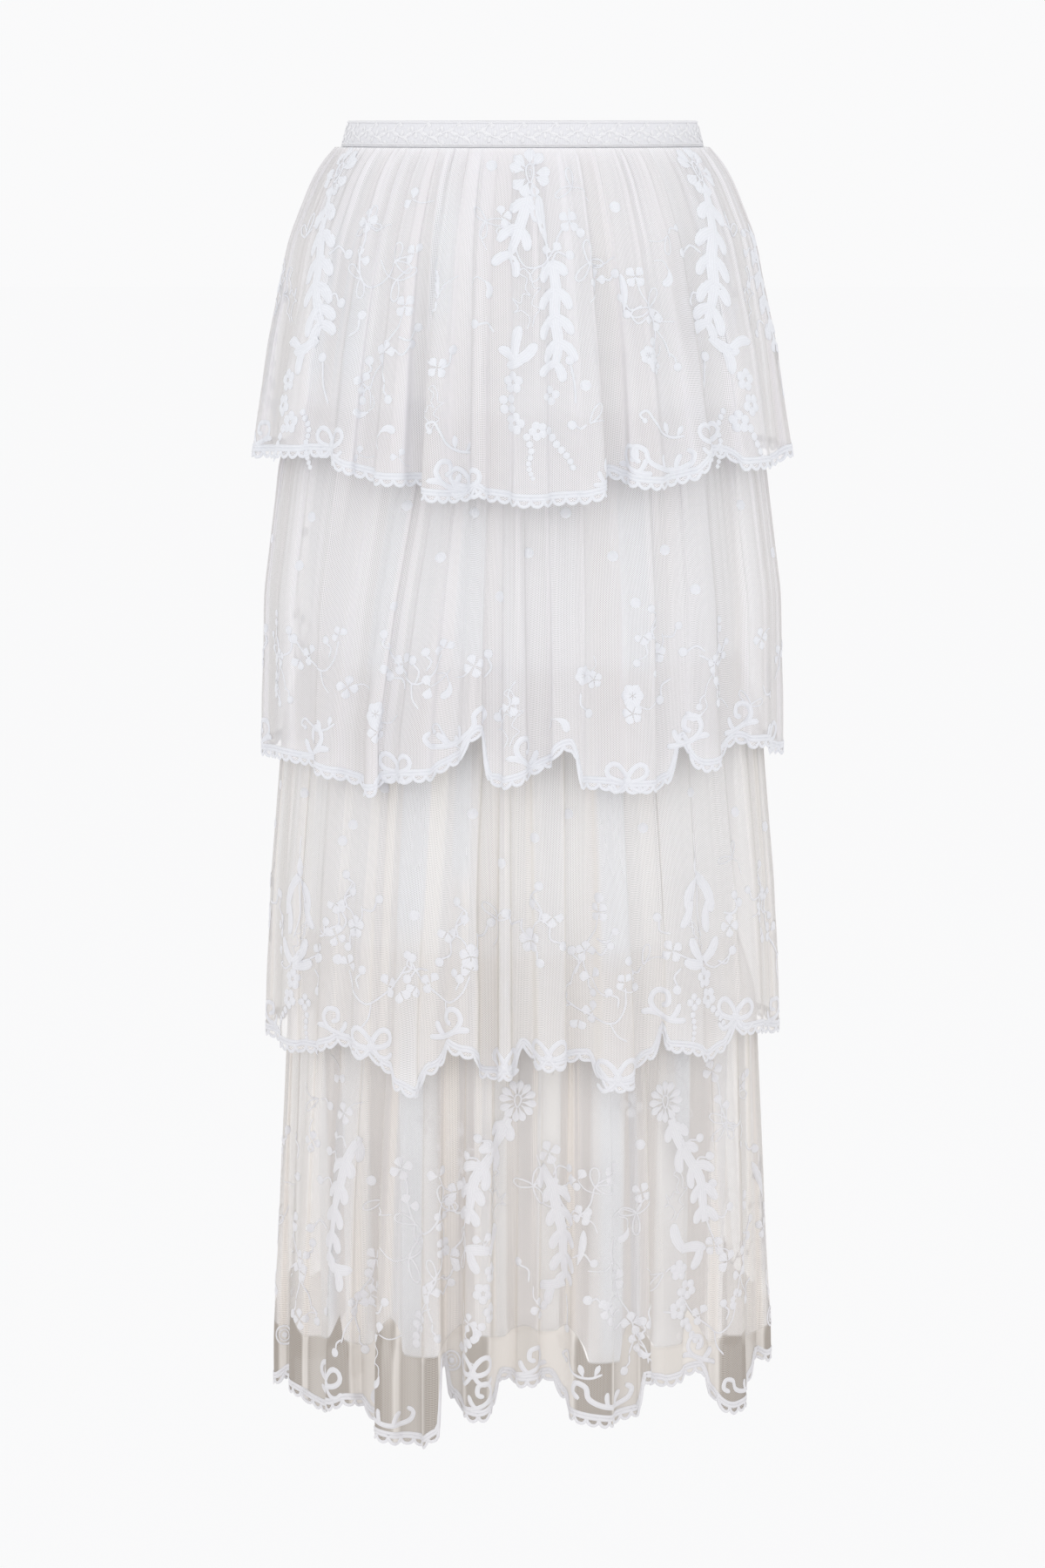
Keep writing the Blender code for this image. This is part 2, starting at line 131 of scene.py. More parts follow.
LINING_TROUGH_HEM = -0.858      # and between the folds
LINING_BACK_START = 4           # the front's fold that the back's first one is like
LINING_COLUMNS = 260            # across one half
LINING_ROWS = 44
LINING_WALL = 0.0006
SATIN_DARK = (0.87, 0.88, 0.905)
SATIN_LIGHT = (0.92, 0.93, 0.95)
SATIN_HOLLOW_SHADE = (0.72, 0.665, 0.63)     # painted shade that darkens the satin between its waves
SATIN_SLUBS = (900.0, 120.0, 1.0)      # how fine its weave is, across and down a metre
RELIEF_DEPTH = 0.0002           # of the bumps that a weave or a thread makes


def oval_angle(share, half_width, half_depth):
    """The angle on the half oval, from -90 degrees at the left side, at a share of its girth."""
    angles = np.linspace(-np.pi / 2, np.pi / 2, OVAL_POINTS)
    steps = np.hypot(half_width * np.diff(np.sin(angles)), half_depth * np.diff(np.cos(angles)))
    girth = np.concatenate([[0.0], np.cumsum(steps)])
    return np.interp(share * girth[-1], girth, angles)


def sizes_at(levels, heights):
    """The oval's sizes at each height, with the change of slope at each level rounded."""
    known = np.array(levels)[::-1]
    reach = round(LEVEL_ROUNDING / ROW_STEP / 2)
    window = np.hanning(2 * reach + 3)[1:-1]
    sizes = []
    for column in known.T[1:]:
        straight = np.interp(heights, known[:, 0], column)
        padded = np.pad(straight, reach, mode="reflect", reflect_type="odd")
        sizes.append(np.convolve(padded, window / window.sum(), mode="valid"))
    return Level(heights, *sizes)


def half_columns(folds, valleys, count, level, side):
    """Evenly spaced lines of cloth across one half: where they are at the hem and at the top
    as shares of the girth, and how their fold rises and tucks. valleys gives how deep the cloth
    goes between two folds, as a share of the full depth, from the first fold's left side on."""
    edges = np.concatenate([[0.0], np.cumsum([fold.width for fold in folds])])
    tops = edges + [0.0, *(fold.lean for fold in folds[1:]), 0.0]
    turn = np.linspace(-np.pi, np.pi, 120, endpoint=False)
    across = 0.5 + (turn + WALL_STEEPNESS * np.sin(2 * turn)) / (2 * np.pi)
    crest = (1 + np.cos(turn)) / 2
    rows = [np.column_stack([
        number + (turn + np.pi) / (2 * np.pi),
        edges[number] + across * fold.width,
        tops[number] + across * (tops[number + 1] - tops[number]),
        fold.rise * crest
        + (1 - np.where(turn < 0, valleys[number], valleys[number + 1])) * (1 - crest),
        fold.tuck * crest]) for number, fold in enumerate(folds)]
    table = np.vstack(rows + [[len(folds), edges[-1], tops[-1], 1 - valleys[-1], 0.0]])
    table[:, 1:3] /= edges[-1]
    girth = np.pi * (level.half_width + level.half_depth) / 2
    depth = (level.side_fold + level.front_fold) / 2 * (1 - table[:, 3])
    run = np.concatenate([[0.0], np.cumsum(np.hypot(np.diff(table[:, 1] * girth), np.diff(depth)))])
    even = np.linspace(0.0, run[-1], count + 1)[:-1]
    return Columns(*(np.interp(even, run, column) for column in table.T), np.full(count, side))


def all_round(folds, valleys, back_start, count, level):
    """The columns of a front half and of a back half that has the same folds from back_start on."""
    turned = [part[back_start:] + part[:back_start] for part in (folds, valleys)]
    halves = [half_columns(folds, valleys + valleys[:1], count, level, 1.0),
              half_columns(*turned[:1], turned[1] + valleys[:1], count, level, -1.0)]
    halves[1] = halves[1]._replace(fold=halves[1].fold + len(folds))
    return Columns(*(np.concatenate(pair) for pair in zip(*halves)))


def hang(levels, columns, lowest, swell=None):
    """Work out hanging cloth on a grid: a row for each height, a column for each line of cloth.
    swell gives how far creases push each point out."""
    top, hem = levels[0].height, levels[-1].height
    heights = np.arange(top, lowest - 2 * ROW_STEP, -ROW_STEP)
    sizes = sizes_at(levels, heights[::-1])
    points, outward = [], []
    for height, *size in zip(heights, *(column[::-1] for column in sizes[1:])):
        half_width, half_depth, side_fold, front_fold = size
        down = np.clip((top - height) / (top - hem), 0.0, 1.0)
        share = (columns.top + (columns.hem - columns.top) * down
                 + columns.tuck * down / (np.pi * (half_width + half_depth) / 2))
        angle = oval_angle(np.clip(share, 0.0, 1.0), half_width, half_depth)
        away = np.column_stack([np.sin(angle) / half_width, -np.cos(angle) / half_depth])
        away /= np.linalg.norm(away, axis=1)[:, None]
        inward = side_fold * np.sin(angle) ** 2 + front_fold * np.cos(angle) ** 2
        oval = np.column_stack([half_width * np.sin(angle), -half_depth * np.cos(angle)])
        flat = (oval - (inward * (1 - columns.rise))[:, None] * away) * columns.side[:, None]
        points.append(np.column_stack([flat, np.full(len(flat), height)]))
        outward.append(np.column_stack([away * columns.side[:, None], np.zeros(len(flat))]))
    points, outward = np.array(points), np.array(outward)
    if swell is not None:
        points = points + swell(heights[:, None], columns)[..., None] * normals_of(points)
    steps = np.linalg.norm(np.roll(points, -1, axis=1) - points, axis=2)
    length = np.cumsum(np.insert(steps, 0, 0.0, axis=1), axis=1)
    number = np.arange(length.shape[1])
    column_at = np.array([
        np.interp(np.linspace(0.0, row[-1], LOOKUP_STEPS + 1), row, number) for row in length])
    return Cloth(heights, columns.fold, points, normals_of(points), outward, length, column_at)


def normals_of(points):
    """The outward normal at each point of a grid that closes round the skirt."""
    across = np.roll(points, -1, axis=1) - np.roll(points, 1, axis=1)
    normals = np.cross(across, -np.gradient(points, axis=0))
    return normals / np.linalg.norm(normals, axis=2)[..., None]


def between(grid, row, column):
    """The values of a grid that closes round the skirt, between its rows and columns."""
    row = np.clip(row, 0, len(grid) - 1.001)
    upper, left = np.floor(row).astype(int), np.floor(column).astype(int)
    down, right = (row - upper)[..., None], (column - left)[..., None]
    left, after = left % grid.shape[1], (left + 1) % grid.shape[1]
    return ((1 - down) * ((1 - right) * grid[upper, left] + right * grid[upper, after])
            + down * ((1 - right) * grid[upper + 1, left] + right * grid[upper + 1, after]))


def on_cloth(cloth, column, height, lift=0.0):
    """Points of the cloth at the given columns and heights, lifted off its face."""
    row = (cloth.heights[0] - height) / ROW_STEP
    column = np.broadcast_to(column, np.shape(height))
    normal = between(cloth.normals, row, column)
    normal /= np.linalg.norm(normal, axis=-1)[..., None]
    lift = np.broadcast_to(lift, np.shape(height))[..., None]
    return between(cloth.points, row, column) + lift * normal


def sheet_round(name, rows, cloth_run, extras):
    """A tube of cloth from rows of points, with its flat cloth in metres as its UV map and the
    extra values at its points as attributes."""
    count = len(rows[0])
    closed = np.concatenate([rows, rows[:, :1]], axis=1)[::-1]
    shape = bmesh.new()
    bmesh.ops.create_grid(
        shape, x_segments=count, y_segments=len(rows) - 1, size=1.0, calc_uvs=True)
    mesh = bpy.data.meshes.new(name)
    shape.to_mesh(mesh)
    shape.free()
    mesh.vertices.foreach_set("co", closed.astype(np.float32).ravel())
    corners = np.empty(len(mesh.loops), int)
    mesh.loops.foreach_get("vertex_index", corners)
    run = np.concatenate([cloth_run, [2 * cloth_run[-1] - cloth_run[-2]]])
    drops = np.linalg.norm(np.diff(rows, axis=0), axis=2).mean(axis=1)
    fall = np.concatenate([[0.0], np.cumsum(drops)])
    flat = np.stack(np.broadcast_arrays(run, fall[::-1, None]), axis=-1).reshape(-1, 2)
    uv_map = mesh.uv_layers[0] if mesh.uv_layers else mesh.uv_layers.new(name="cloth")
    uv_map.name = "cloth"
    uv_map.data.foreach_set("uv", flat[corners].astype(np.float32).ravel())
    for label, values in extras.items():
        values = np.concatenate([values, values[:, :1]], axis=1)[::-1]
        numbers = mesh.attributes.new(label, "FLOAT", "POINT").data
        numbers.foreach_set("value", values.astype(np.float32).ravel())
    seam = bmesh.new()
    seam.from_mesh(mesh)
    seam.verts.ensure_lookup_table()
    ends = [seam.verts[row * (count + 1) + end] for row in range(len(rows)) for end in (0, count)]
    bmesh.ops.remove_doubles(seam, verts=ends, dist=SEAM_GAP)
    seam.to_mesh(mesh)
    seam.free()
    mesh.shade_smooth()
    piece = bpy.data.objects.new(name, mesh)
    bpy.context.scene.collection.objects.link(piece)
    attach(piece, "root")
    return piece


lining_columns = all_round(
    LINING_FOLDS, [1.0] * len(LINING_FOLDS), LINING_BACK_START, LINING_COLUMNS, LINING_LEVELS[-1])
lining = hang(LINING_LEVELS, lining_columns, min(LINING_HEMS))
back_hems = LINING_HEMS[LINING_BACK_START:] + LINING_HEMS[:LINING_BACK_START]
lining_hems = np.array(LINING_HEMS + back_hems)
lining_reach = lining_hems[np.floor(lining_columns.fold).astype(int)] - LINING_TROUGH_HEM
lining_hem = LINING_TROUGH_HEM + lining_reach * np.clip(lining_columns.rise * 1.6, 0.0, 1.0) ** 0.5
lining_share = np.linspace(0.0, 1.0, LINING_ROWS)[:, None]
lining_heights = lining.heights[0] + (lining_hem - lining.heights[0]) * lining_share
lining_rows = on_cloth(lining, np.arange(2 * LINING_COLUMNS), lining_heights)
waves_start = LINING_LEVELS[4].height
# Painted shade: how much the satin is darkened in the hollows between its waves, from where the
# waves start.
lining_hollow = np.clip((0.55 - lining_columns.rise) / 0.2, 0.0, 1.0) * np.clip(
    (waves_start - lining_heights) / 0.12, 0.0, 1.0)
lining_piece = sheet_round(
    "lining_slip", lining_rows, lining.length[-1][:-1], {"hollow": lining_hollow})
lining_wall = lining_piece.modifiers.new("wall", "SOLIDIFY")
lining_wall.thickness = LINING_WALL
lining_wall.offset = -1.0
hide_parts("lining_front", "lining_back")


def shader_nodes(material):
    """A new material's node tree and its Principled shader."""
    material.use_nodes = True
    return material.node_tree, material.node_tree.nodes["Principled BSDF"]


def add_node(tree, kind, operation=None, inputs=(), **settings):
    """A node with its settings; each input is a value, a colour or another node's socket."""
    node = tree.nodes.new(kind)
    if operation is not None:
        node.operation = operation
    for name, value in settings.items():
        setattr(node, name, value)
    for socket, value in dict(inputs).items():
        if isinstance(value, bpy.types.NodeSocket):
            tree.links.new(value, node.inputs[socket])
        else:
            node.inputs[socket].default_value = value
    return node


def arithmetic(tree, operation, *values):
    """What a Math node makes of values or of other nodes' outputs."""
    return add_node(tree, "ShaderNodeMath", operation, dict(enumerate(values))).outputs[0]


def spread(tree, value, low, high, first=0.0, last=1.0, **settings):
    """A value between two limits spread over the range from first to last, and held outside."""
    return add_node(tree, "ShaderNodeMapRange", inputs={
        "Value": value, "From Min": low, "From Max": high, "To Min": first, "To Max": last},
        **settings).outputs[0]


def blend(tree, share, first, second, blend_type="MIX"):
    """The first colour, changed to the second or multiplied by it where share is 1."""
    ends = [end if isinstance(end, bpy.types.NodeSocket) else (*end, 1.0)
            for end in (first, second)]
    return add_node(tree, "ShaderNodeMix", data_type="RGBA", blend_type=blend_type,
                    inputs={0: share, 6: ends[0], 7: ends[1]}).outputs[2]


def attribute(tree, name):
    """The value that the mesh holds under a name."""
    return add_node(tree, "ShaderNodeAttribute", attribute_name=name).outputs["Fac"]


def cloth_noise(tree, cloth, often, detail):
    """Noise over the flat cloth that changes so often across, down and through a metre."""
    stretched = add_node(tree, "ShaderNodeMapping", inputs={"Vector": cloth, "Scale": often})
    return add_node(tree, "ShaderNodeTexNoise", inputs={
        "Vector": stretched.outputs[0], "Scale": 1.0, "Detail": detail}).outputs["Fac"]


def relief(tree, shader, height, strength):
    """Fine bumps of thread on a shader's surface."""
    bumps = add_node(tree, "ShaderNodeBump", inputs={
        "Height": height, "Strength": strength, "Distance": RELIEF_DEPTH})
    tree.links.new(bumps.outputs[0], shader.inputs["Normal"])


satin = bpy.data.materials.new("lining_satin")
tree, shader = shader_nodes(satin)
shader.inputs["Roughness"].default_value = 0.55
shader.inputs["Sheen Weight"].default_value = 0.15
cloth_uv = add_node(tree, "ShaderNodeUVMap", uv_map="cloth").outputs[0]
weave = cloth_noise(tree, cloth_uv, SATIN_SLUBS, 2.0)
woven_tint = blend(tree, spread(tree, weave, 0.3, 0.7), SATIN_DARK, SATIN_LIGHT)
# painted shade between the satin's waves
satin_tint = blend(tree, attribute(tree, "hollow"), woven_tint, SATIN_HOLLOW_SHADE, "MULTIPLY")
tree.links.new(satin_tint, shader.inputs["Base Color"])
relief(tree, shader, weave, 0.15)
lining_piece.data.materials.append(satin)


# ---------------------------------------------------------------- waistband
# A firm woven ribbon closed in a ring, with a raised edge cord on both sides and a vine of
# fine cord and small leaves worked all round it.
RIBBON_TOP = 0.0092             # heights of the ribbon's two edges
RIBBON_HEM = -0.0092
RIBBON_LEVELS = [
    Level(RIBBON_TOP, 0.1252, 0.0918, 0.0, 0.0), Level(RIBBON_HEM, 0.1307, 0.0955, 0.0, 0.0)]
RIBBON_COLUMNS = 240            # across one half
RIBBON_ROWS = 9
RIBBON_WALL = 0.0012
RIBBON_DARK = (0.70, 0.70, 0.735)
RIBBON_LIGHT = (0.82, 0.82, 0.85)
RIBS = 330.0                    # how fine the ribbon's ribs are

ribbon_columns = all_round([Fold(1.0, 0.0, 1.0, 0.0)], [0.0], 0, RIBBON_COLUMNS, RIBBON_LEVELS[-1])
ribbon = hang(RIBBON_LEVELS, ribbon_columns, RIBBON_HEM)
ribbon_heights = np.broadcast_to(np.linspace(RIBBON_TOP, RIBBON_HEM, RIBBON_ROWS)[:, None],
                                 (RIBBON_ROWS, 2 * RIBBON_COLUMNS))
ribbon_rows = on_cloth(ribbon, np.arange(2 * RIBBON_COLUMNS), ribbon_heights)
ribbon_run = ribbon.length[len(ribbon.heights) // 2]
ribbon_piece = sheet_round("waist_ribbon", ribbon_rows, ribbon_run[:-1], {})
ribbon_wall = ribbon_piece.modifiers.new("wall", "SOLIDIFY")
ribbon_wall.thickness = RIBBON_WALL
ribbon_wall.offset = -1.0
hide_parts("waistband")

woven = bpy.data.materials.new("woven_ribbon")
tree, shader = shader_nodes(woven)
shader.inputs["Roughness"].default_value = 0.6
shader.inputs["Sheen Weight"].default_value = 0.1
cloth_uv = add_node(tree, "ShaderNodeUVMap", uv_map="cloth").outputs[0]
ribs = add_node(tree, "ShaderNodeTexWave", wave_type="BANDS", bands_direction="X", inputs={
    "Vector": cloth_uv, "Scale": RIBS, "Distortion": 1.5, "Detail": 1.0}).outputs["Fac"]
tree.links.new(blend(tree, ribs, RIBBON_DARK, RIBBON_LIGHT), shader.inputs["Base Color"])
relief(tree, shader, ribs, 0.3)
ribbon_piece.data.materials.append(woven)


# ---------------------------------------------------------------- net tiers
# Four ruffles of fine hexagonal net, each one long strip gathered onto the waistband or onto
# the lining. They fall in soft uneven folds, and their hems hang in swags between the bows.
Tier = namedtuple("Tier", "levels hem bows back_start folds valleys creases panes seam cut")
Crease = namedtuple("Crease", "fold top hem depth width")
Pane = namedtuple("Pane", "fold top hem width")     # where the net lies smooth, one layer thick

HALF_FOLDS = 12                 # folds across the front, and as many across the back
NET_COLUMNS = 480               # across one half
NET_ROWS = 34
HEM_CORD = 0.0024               # from one to the other of the two cords along a hem
PICOT_DROP = 0.0064             # how far the scallops hang below the corded line
PICOT_WIDTH = 0.0095
GATHERS = 152                   # fine gathers all round a tier
GATHER_DEPTH = 0.0007
GATHER_FADE = 0.110             # height over which the fine gathers open out
PLEATS = 72                     # narrow pleats all round a tier, pressed in by its gathers
PLEAT_DEPTH = 0.0014
PLEAT_WIDTH = 0.0075
SIDE_LEVEL = 1.3                # folds of the back beside each side over which its hem stays level

TIERS = {
    "tier1": Tier(
        levels=[
            Level(-0.0096, 0.1347, 0.0992, 0.0000, 0.0000),
            Level(-0.0300, 0.1500, 0.1115, 0.0020, 0.0030),
            Level(-0.0750, 0.1695, 0.1290, 0.0045, 0.0080),
            Level(-0.1500, 0.1858, 0.1470, 0.0100, 0.0180),
            Level(-0.2350, 0.1978, 0.1595, 0.0140, 0.0240),
        ],
        hem=[
            (0, -0.2235), (0.6, -0.2240), (2.1, -0.2182), (2.3, -0.2240), (2.6, -0.2290),
            (3.5, -0.2358), (4, -0.2360), (4.15, -0.2440), (4.85, -0.2470), (5.3, -0.2440),
            (5.45, -0.2405), (5.7, -0.2450), (6.5, -0.2490), (7.3, -0.2470), (7.75, -0.2420),
            (7.97, -0.2300), (8.15, -0.2340), (8.65, -0.2385), (9.3, -0.2330), (9.8, -0.2150),
            (10, -0.2190), (10.4, -0.2284), (10.9, -0.2290), (11.4, -0.2237), (12, -0.2235),
        ],
        bows=[0, 2.1, 4.08, 5.45, 7.97, 9.8, 12], back_start=8,
        folds=[
            Fold(0.044, 0.000, 1.00, 0.000), Fold(0.077, 0.004, 1.00, 0.004),
            Fold(0.036, 0.006, 0.95, 0.005), Fold(0.047, 0.004, 0.90, 0.000),
            Fold(0.030, -0.006, 1.00, -0.008), Fold(0.024, -0.004, 0.80, 0.000),
            Fold(0.050, -0.002, 1.00, 0.000), Fold(0.036, 0.000, 0.92, 0.004),
            Fold(0.053, -0.002, 1.00, -0.006), Fold(0.036, -0.008, 0.90, 0.000),
            Fold(0.076, -0.010, 1.00, -0.004), Fold(0.046, -0.004, 1.00, 0.000),
        ],
        valleys=[0.5, 0.6, 0.45, 0.5, 0.8, 0.7, 0.5, 0.35, 0.8, 0.45, 0.7, 0.6],
        creases=[
            Crease(0.55, -0.03, -0.20, -0.0020, 0.006), Crease(1.35, -0.02, -0.17, -0.0030, 0.009),
            Crease(1.72, -0.05, -0.24, -0.0022, 0.006), Crease(2.50, -0.02, -0.13, -0.0018, 0.005),
            Crease(3.45, -0.04, -0.24, -0.0026, 0.006), Crease(4.50, -0.02, -0.16, -0.0020, 0.005),
            Crease(6.40, -0.10, -0.24, -0.0024, 0.007), Crease(7.55, -0.02, -0.19, -0.0022, 0.006),
            Crease(8.35, -0.04, -0.24, -0.0030, 0.008), Crease(9.50, -0.02, -0.15, -0.0018, 0.005),
            Crease(10.30, -0.07, -0.24, -0.0030, 0.009),
            Crease(10.70, -0.03, -0.16, -0.0022, 0.006),
            Crease(11.50, -0.02, -0.22, -0.0020, 0.006),
        ],
        panes=[
            Pane(1.75, -0.050, -0.185, 0.012), Pane(2.45, -0.085, -0.180, 0.009),
            Pane(4.35, -0.030, -0.135, 0.013), Pane(10.25, -0.040, -0.150, 0.010),
        ],
        seam="waistband", cut=(1.36, 0.26)),
    "tier2": Tier(
        levels=[
            Level(-0.1950, 0.1583, 0.1193, 0.0012, 0.0012),
            Level(-0.2320, 0.1770, 0.1235, 0.0055, 0.0050),
            Level(-0.3300, 0.1900, 0.1440, 0.0075, 0.0170),
            Level(-0.4220, 0.1915, 0.1555, 0.0080, 0.0240),
        ],
        hem=[
            (0, -0.4410), (0.75, -0.4420), (1.5, -0.4385), (2, -0.4400), (2.65, -0.4472),
            (3.4, -0.4567), (3.58, -0.4560), (3.68, -0.4500), (4.1, -0.4460), (4.7, -0.4430),
            (5.2, -0.4300), (5.6, -0.4110), (5.82, -0.4130), (6, -0.4460), (6.3, -0.4475),
            (6.8, -0.4410), (7.2, -0.4320), (7.54, -0.4205), (7.68, -0.4480), (8.35, -0.4520),
            (8.9, -0.4525), (9.02, -0.4490), (9.14, -0.4200), (9.5, -0.4410), (9.8, -0.4380),
            (10.05, -0.4254), (10.4, -0.4290), (11.25, -0.4403), (12, -0.4410),
        ],
        bows=[0, 2.0, 3.63, 5.7, 7.6, 9.1, 10.05, 12], back_start=7,
        folds=[
            Fold(0.036, 0.000, 1.00, 0.000), Fold(0.060, -0.004, 1.00, 0.000),
            Fold(0.046, -0.004, 0.85, -0.004), Fold(0.027, 0.026, 1.00, 0.004),
            Fold(0.048, 0.030, 1.00, 0.000), Fold(0.031, 0.010, 0.90, 0.003),
            Fold(0.035, 0.000, 0.95, 0.000), Fold(0.047, -0.004, 0.90, -0.005),
            Fold(0.049, 0.004, 1.00, 0.004), Fold(0.067, 0.010, 0.90, 0.000),
            Fold(0.060, 0.000, 1.00, -0.004), Fold(0.036, 0.000, 1.00, 0.000),
        ],
        valleys=[0.5, 0.5, 0.45, 0.8, 0.4, 0.5, 0.45, 0.55, 0.5, 0.55, 0.85, 0.5],
        creases=[
            Crease(0.50, -0.22, -0.40, -0.0018, 0.005), Crease(1.30, -0.21, -0.42, -0.0026, 0.007),
            Crease(1.70, -0.24, -0.38, -0.0020, 0.005), Crease(2.45, -0.21, -0.43, -0.0024, 0.006),
            Crease(4.50, -0.22, -0.36, -0.0024, 0.007), Crease(5.50, -0.24, -0.44, -0.0018, 0.005),
            Crease(7.45, -0.21, -0.40, -0.0022, 0.006), Crease(8.50, -0.26, -0.44, -0.0024, 0.007),
            Crease(9.30, -0.21, -0.38, -0.0026, 0.007), Crease(9.72, -0.24, -0.44, -0.0026, 0.007),
            Crease(10.35, -0.22, -0.44, -0.0028, 0.007),
            Crease(11.50, -0.22, -0.40, -0.0018, 0.005),
        ],
        panes=[
            Pane(3.30, -0.230, -0.390, 0.009), Pane(5.40, -0.245, -0.375, 0.014),
            Pane(8.40, -0.235, -0.385, 0.010),
        ],
        seam="lining_slip", cut=(1.45, 0.26)),
    "tier3": Tier(
        levels=[
            Level(-0.3750, 0.1583, 0.1193, 0.0012, 0.0012),
            Level(-0.4200, 0.1758, 0.1232, 0.0045, 0.0045),
            Level(-0.5400, 0.1866, 0.1410, 0.0080, 0.0160),
            Level(-0.6320, 0.1902, 0.1535, 0.0095, 0.0235),
        ],
        hem=[
            (0, -0.6490), (0.7, -0.6495), (1.5, -0.6520), (2.1, -0.6500), (2.9, -0.6400),
            (3.2, -0.6420), (3.45, -0.6450), (3.8, -0.6465), (4.1, -0.6560), (4.4, -0.6674),
            (4.65, -0.6730), (4.85, -0.6650), (5, -0.6550), (5.3, -0.6361), (5.5, -0.6400),
            (5.95, -0.6585), (6.85, -0.6570), (7.04, -0.6370), (7.2, -0.6440), (7.45, -0.6500),
            (7.8, -0.6470), (8.1, -0.6454), (8.25, -0.6560), (8.45, -0.6665), (8.8, -0.6640),
            (9.05, -0.6480), (9.2, -0.6278), (9.4, -0.6420), (9.85, -0.6530), (10, -0.6480),
            (10.13, -0.6337), (10.4, -0.6380), (11.3, -0.6466), (12, -0.6490),
        ],
        bows=[0, 1.2, 2.9, 5.3, 7.04, 9.15, 10.13, 12], back_start=9,
        folds=[
            Fold(0.038, 0.000, 1.00, 0.000), Fold(0.057, -0.002, 1.00, 0.003),
            Fold(0.034, -0.004, 0.90, 0.000), Fold(0.032, 0.000, 0.85, 0.000),
            Fold(0.038, 0.000, 0.95, 0.003), Fold(0.046, 0.008, 1.00, 0.005),
            Fold(0.020, 0.000, 0.70, 0.000), Fold(0.043, -0.003, 0.90, 0.004),
            Fold(0.052, 0.006, 1.00, 0.005), Fold(0.070, -0.002, 0.85, -0.004),
            Fold(0.066, -0.004, 1.00, 0.000), Fold(0.040, -0.006, 1.00, 0.000),
        ],
        valleys=[0.5, 0.5, 0.45, 0.35, 0.35, 0.4, 0.8, 0.75, 0.75, 0.65, 0.45, 0.55],
        creases=[
            Crease(0.50, -0.40, -0.60, -0.0018, 0.005), Crease(1.35, -0.39, -0.58, -0.0024, 0.006),
            Crease(1.75, -0.42, -0.64, -0.0022, 0.006), Crease(3.50, -0.39, -0.56, -0.0018, 0.005),
            Crease(5.30, -0.40, -0.64, -0.0024, 0.006), Crease(5.70, -0.44, -0.60, -0.0020, 0.005),
            Crease(7.50, -0.39, -0.62, -0.0020, 0.006), Crease(8.50, -0.41, -0.58, -0.0022, 0.006),
            Crease(9.30, -0.39, -0.64, -0.0028, 0.008), Crease(9.75, -0.43, -0.60, -0.0022, 0.006),
            Crease(10.40, -0.40, -0.64, -0.0028, 0.008),
            Crease(11.50, -0.40, -0.58, -0.0018, 0.005),
        ],
        panes=[
            Pane(4.55, -0.415, -0.570, 0.012), Pane(5.35, -0.410, -0.530, 0.009),
            Pane(8.55, -0.415, -0.590, 0.012),
        ],
        seam="lining_slip", cut=(1.42, 0.28)),
    "tier4": Tier(
        levels=[
            Level(-0.5800, 0.1578, 0.1188, 0.0012, 0.0012),
            Level(-0.6250, 0.1735, 0.1215, 0.0055, 0.0040),
            Level(-0.7600, 0.1815, 0.1395, 0.0130, 0.0190),
            Level(-0.8880, 0.1868, 0.1505, 0.0190, 0.0290),
        ],
        hem=[
            (0, -0.9150), (0.5, -0.9150), (0.95, -0.9060), (1.5, -0.9110), (2.05, -0.9190),
            (2.4, -0.9130), (2.6, -0.9060), (2.85, -0.9080), (2.98, -0.9180), (3.3, -0.9270),
            (3.8, -0.9304), (4.3, -0.9300), (4.58, -0.9220), (4.68, -0.8700), (4.87, -0.8700),
            (5, -0.8960), (5.2, -0.9040), (5.5, -0.9070), (5.85, -0.8990), (5.97, -0.8815),
            (6.45, -0.8850), (7, -0.8825), (7.12, -0.8960), (7.3, -0.9070), (7.7, -0.9140),
            (8.15, -0.9110), (8.34, -0.9020), (8.45, -0.8860), (9.4, -0.8930), (10.08, -0.8873),
            (10.2, -0.9050), (10.5, -0.9194), (10.85, -0.9170), (11.05, -0.9060), (11.18, -0.8907),
            (11.4, -0.8949), (12, -0.8950),
        ],
        bows=[0, 2.9, 4.64, 5.92, 7.04, 8.39, 10.14, 11.12, 12], back_start=8,
        folds=[
            Fold(0.038, 0.000, 1.00, 0.000), Fold(0.049, 0.000, 0.90, 0.000),
            Fold(0.055, 0.002, 1.00, 0.004), Fold(0.037, 0.000, 0.95, -0.003),
            Fold(0.029, -0.004, 1.00, 0.005), Fold(0.041, -0.002, 1.00, 0.003),
            Fold(0.036, 0.002, 0.45, 0.000), Fold(0.065, 0.006, 1.00, -0.004),
            Fold(0.020, 0.000, 0.60, 0.000), Fold(0.036, 0.000, 0.35, 0.000),
            Fold(0.074, 0.004, 1.00, -0.005), Fold(0.047, 0.006, 1.00, 0.000),
        ],
        valleys=[0.6, 0.55, 0.5, 0.7, 0.45, 0.65, 0.9, 0.95, 0.6, 0.7, 0.75, 0.6],
        creases=[
            Crease(0.50, -0.60, -0.84, -0.0020, 0.005), Crease(1.50, -0.60, -0.86, -0.0024, 0.006),
            Crease(2.30, -0.61, -0.80, -0.0026, 0.007), Crease(2.72, -0.66, -0.90, -0.0024, 0.006),
            Crease(5.50, -0.60, -0.82, -0.0022, 0.006), Crease(6.50, -0.62, -0.90, -0.0020, 0.005),
            Crease(7.35, -0.60, -0.86, -0.0028, 0.007), Crease(7.50, -0.66, -0.90, -0.0022, 0.006),
            Crease(9.50, -0.60, -0.88, -0.0020, 0.006), Crease(10.30, -0.60, -0.84, -0.0030, 0.008),
            Crease(10.72, -0.64, -0.90, -0.0026, 0.006),
            Crease(11.50, -0.62, -0.86, -0.0022, 0.006),
        ],
        panes=[
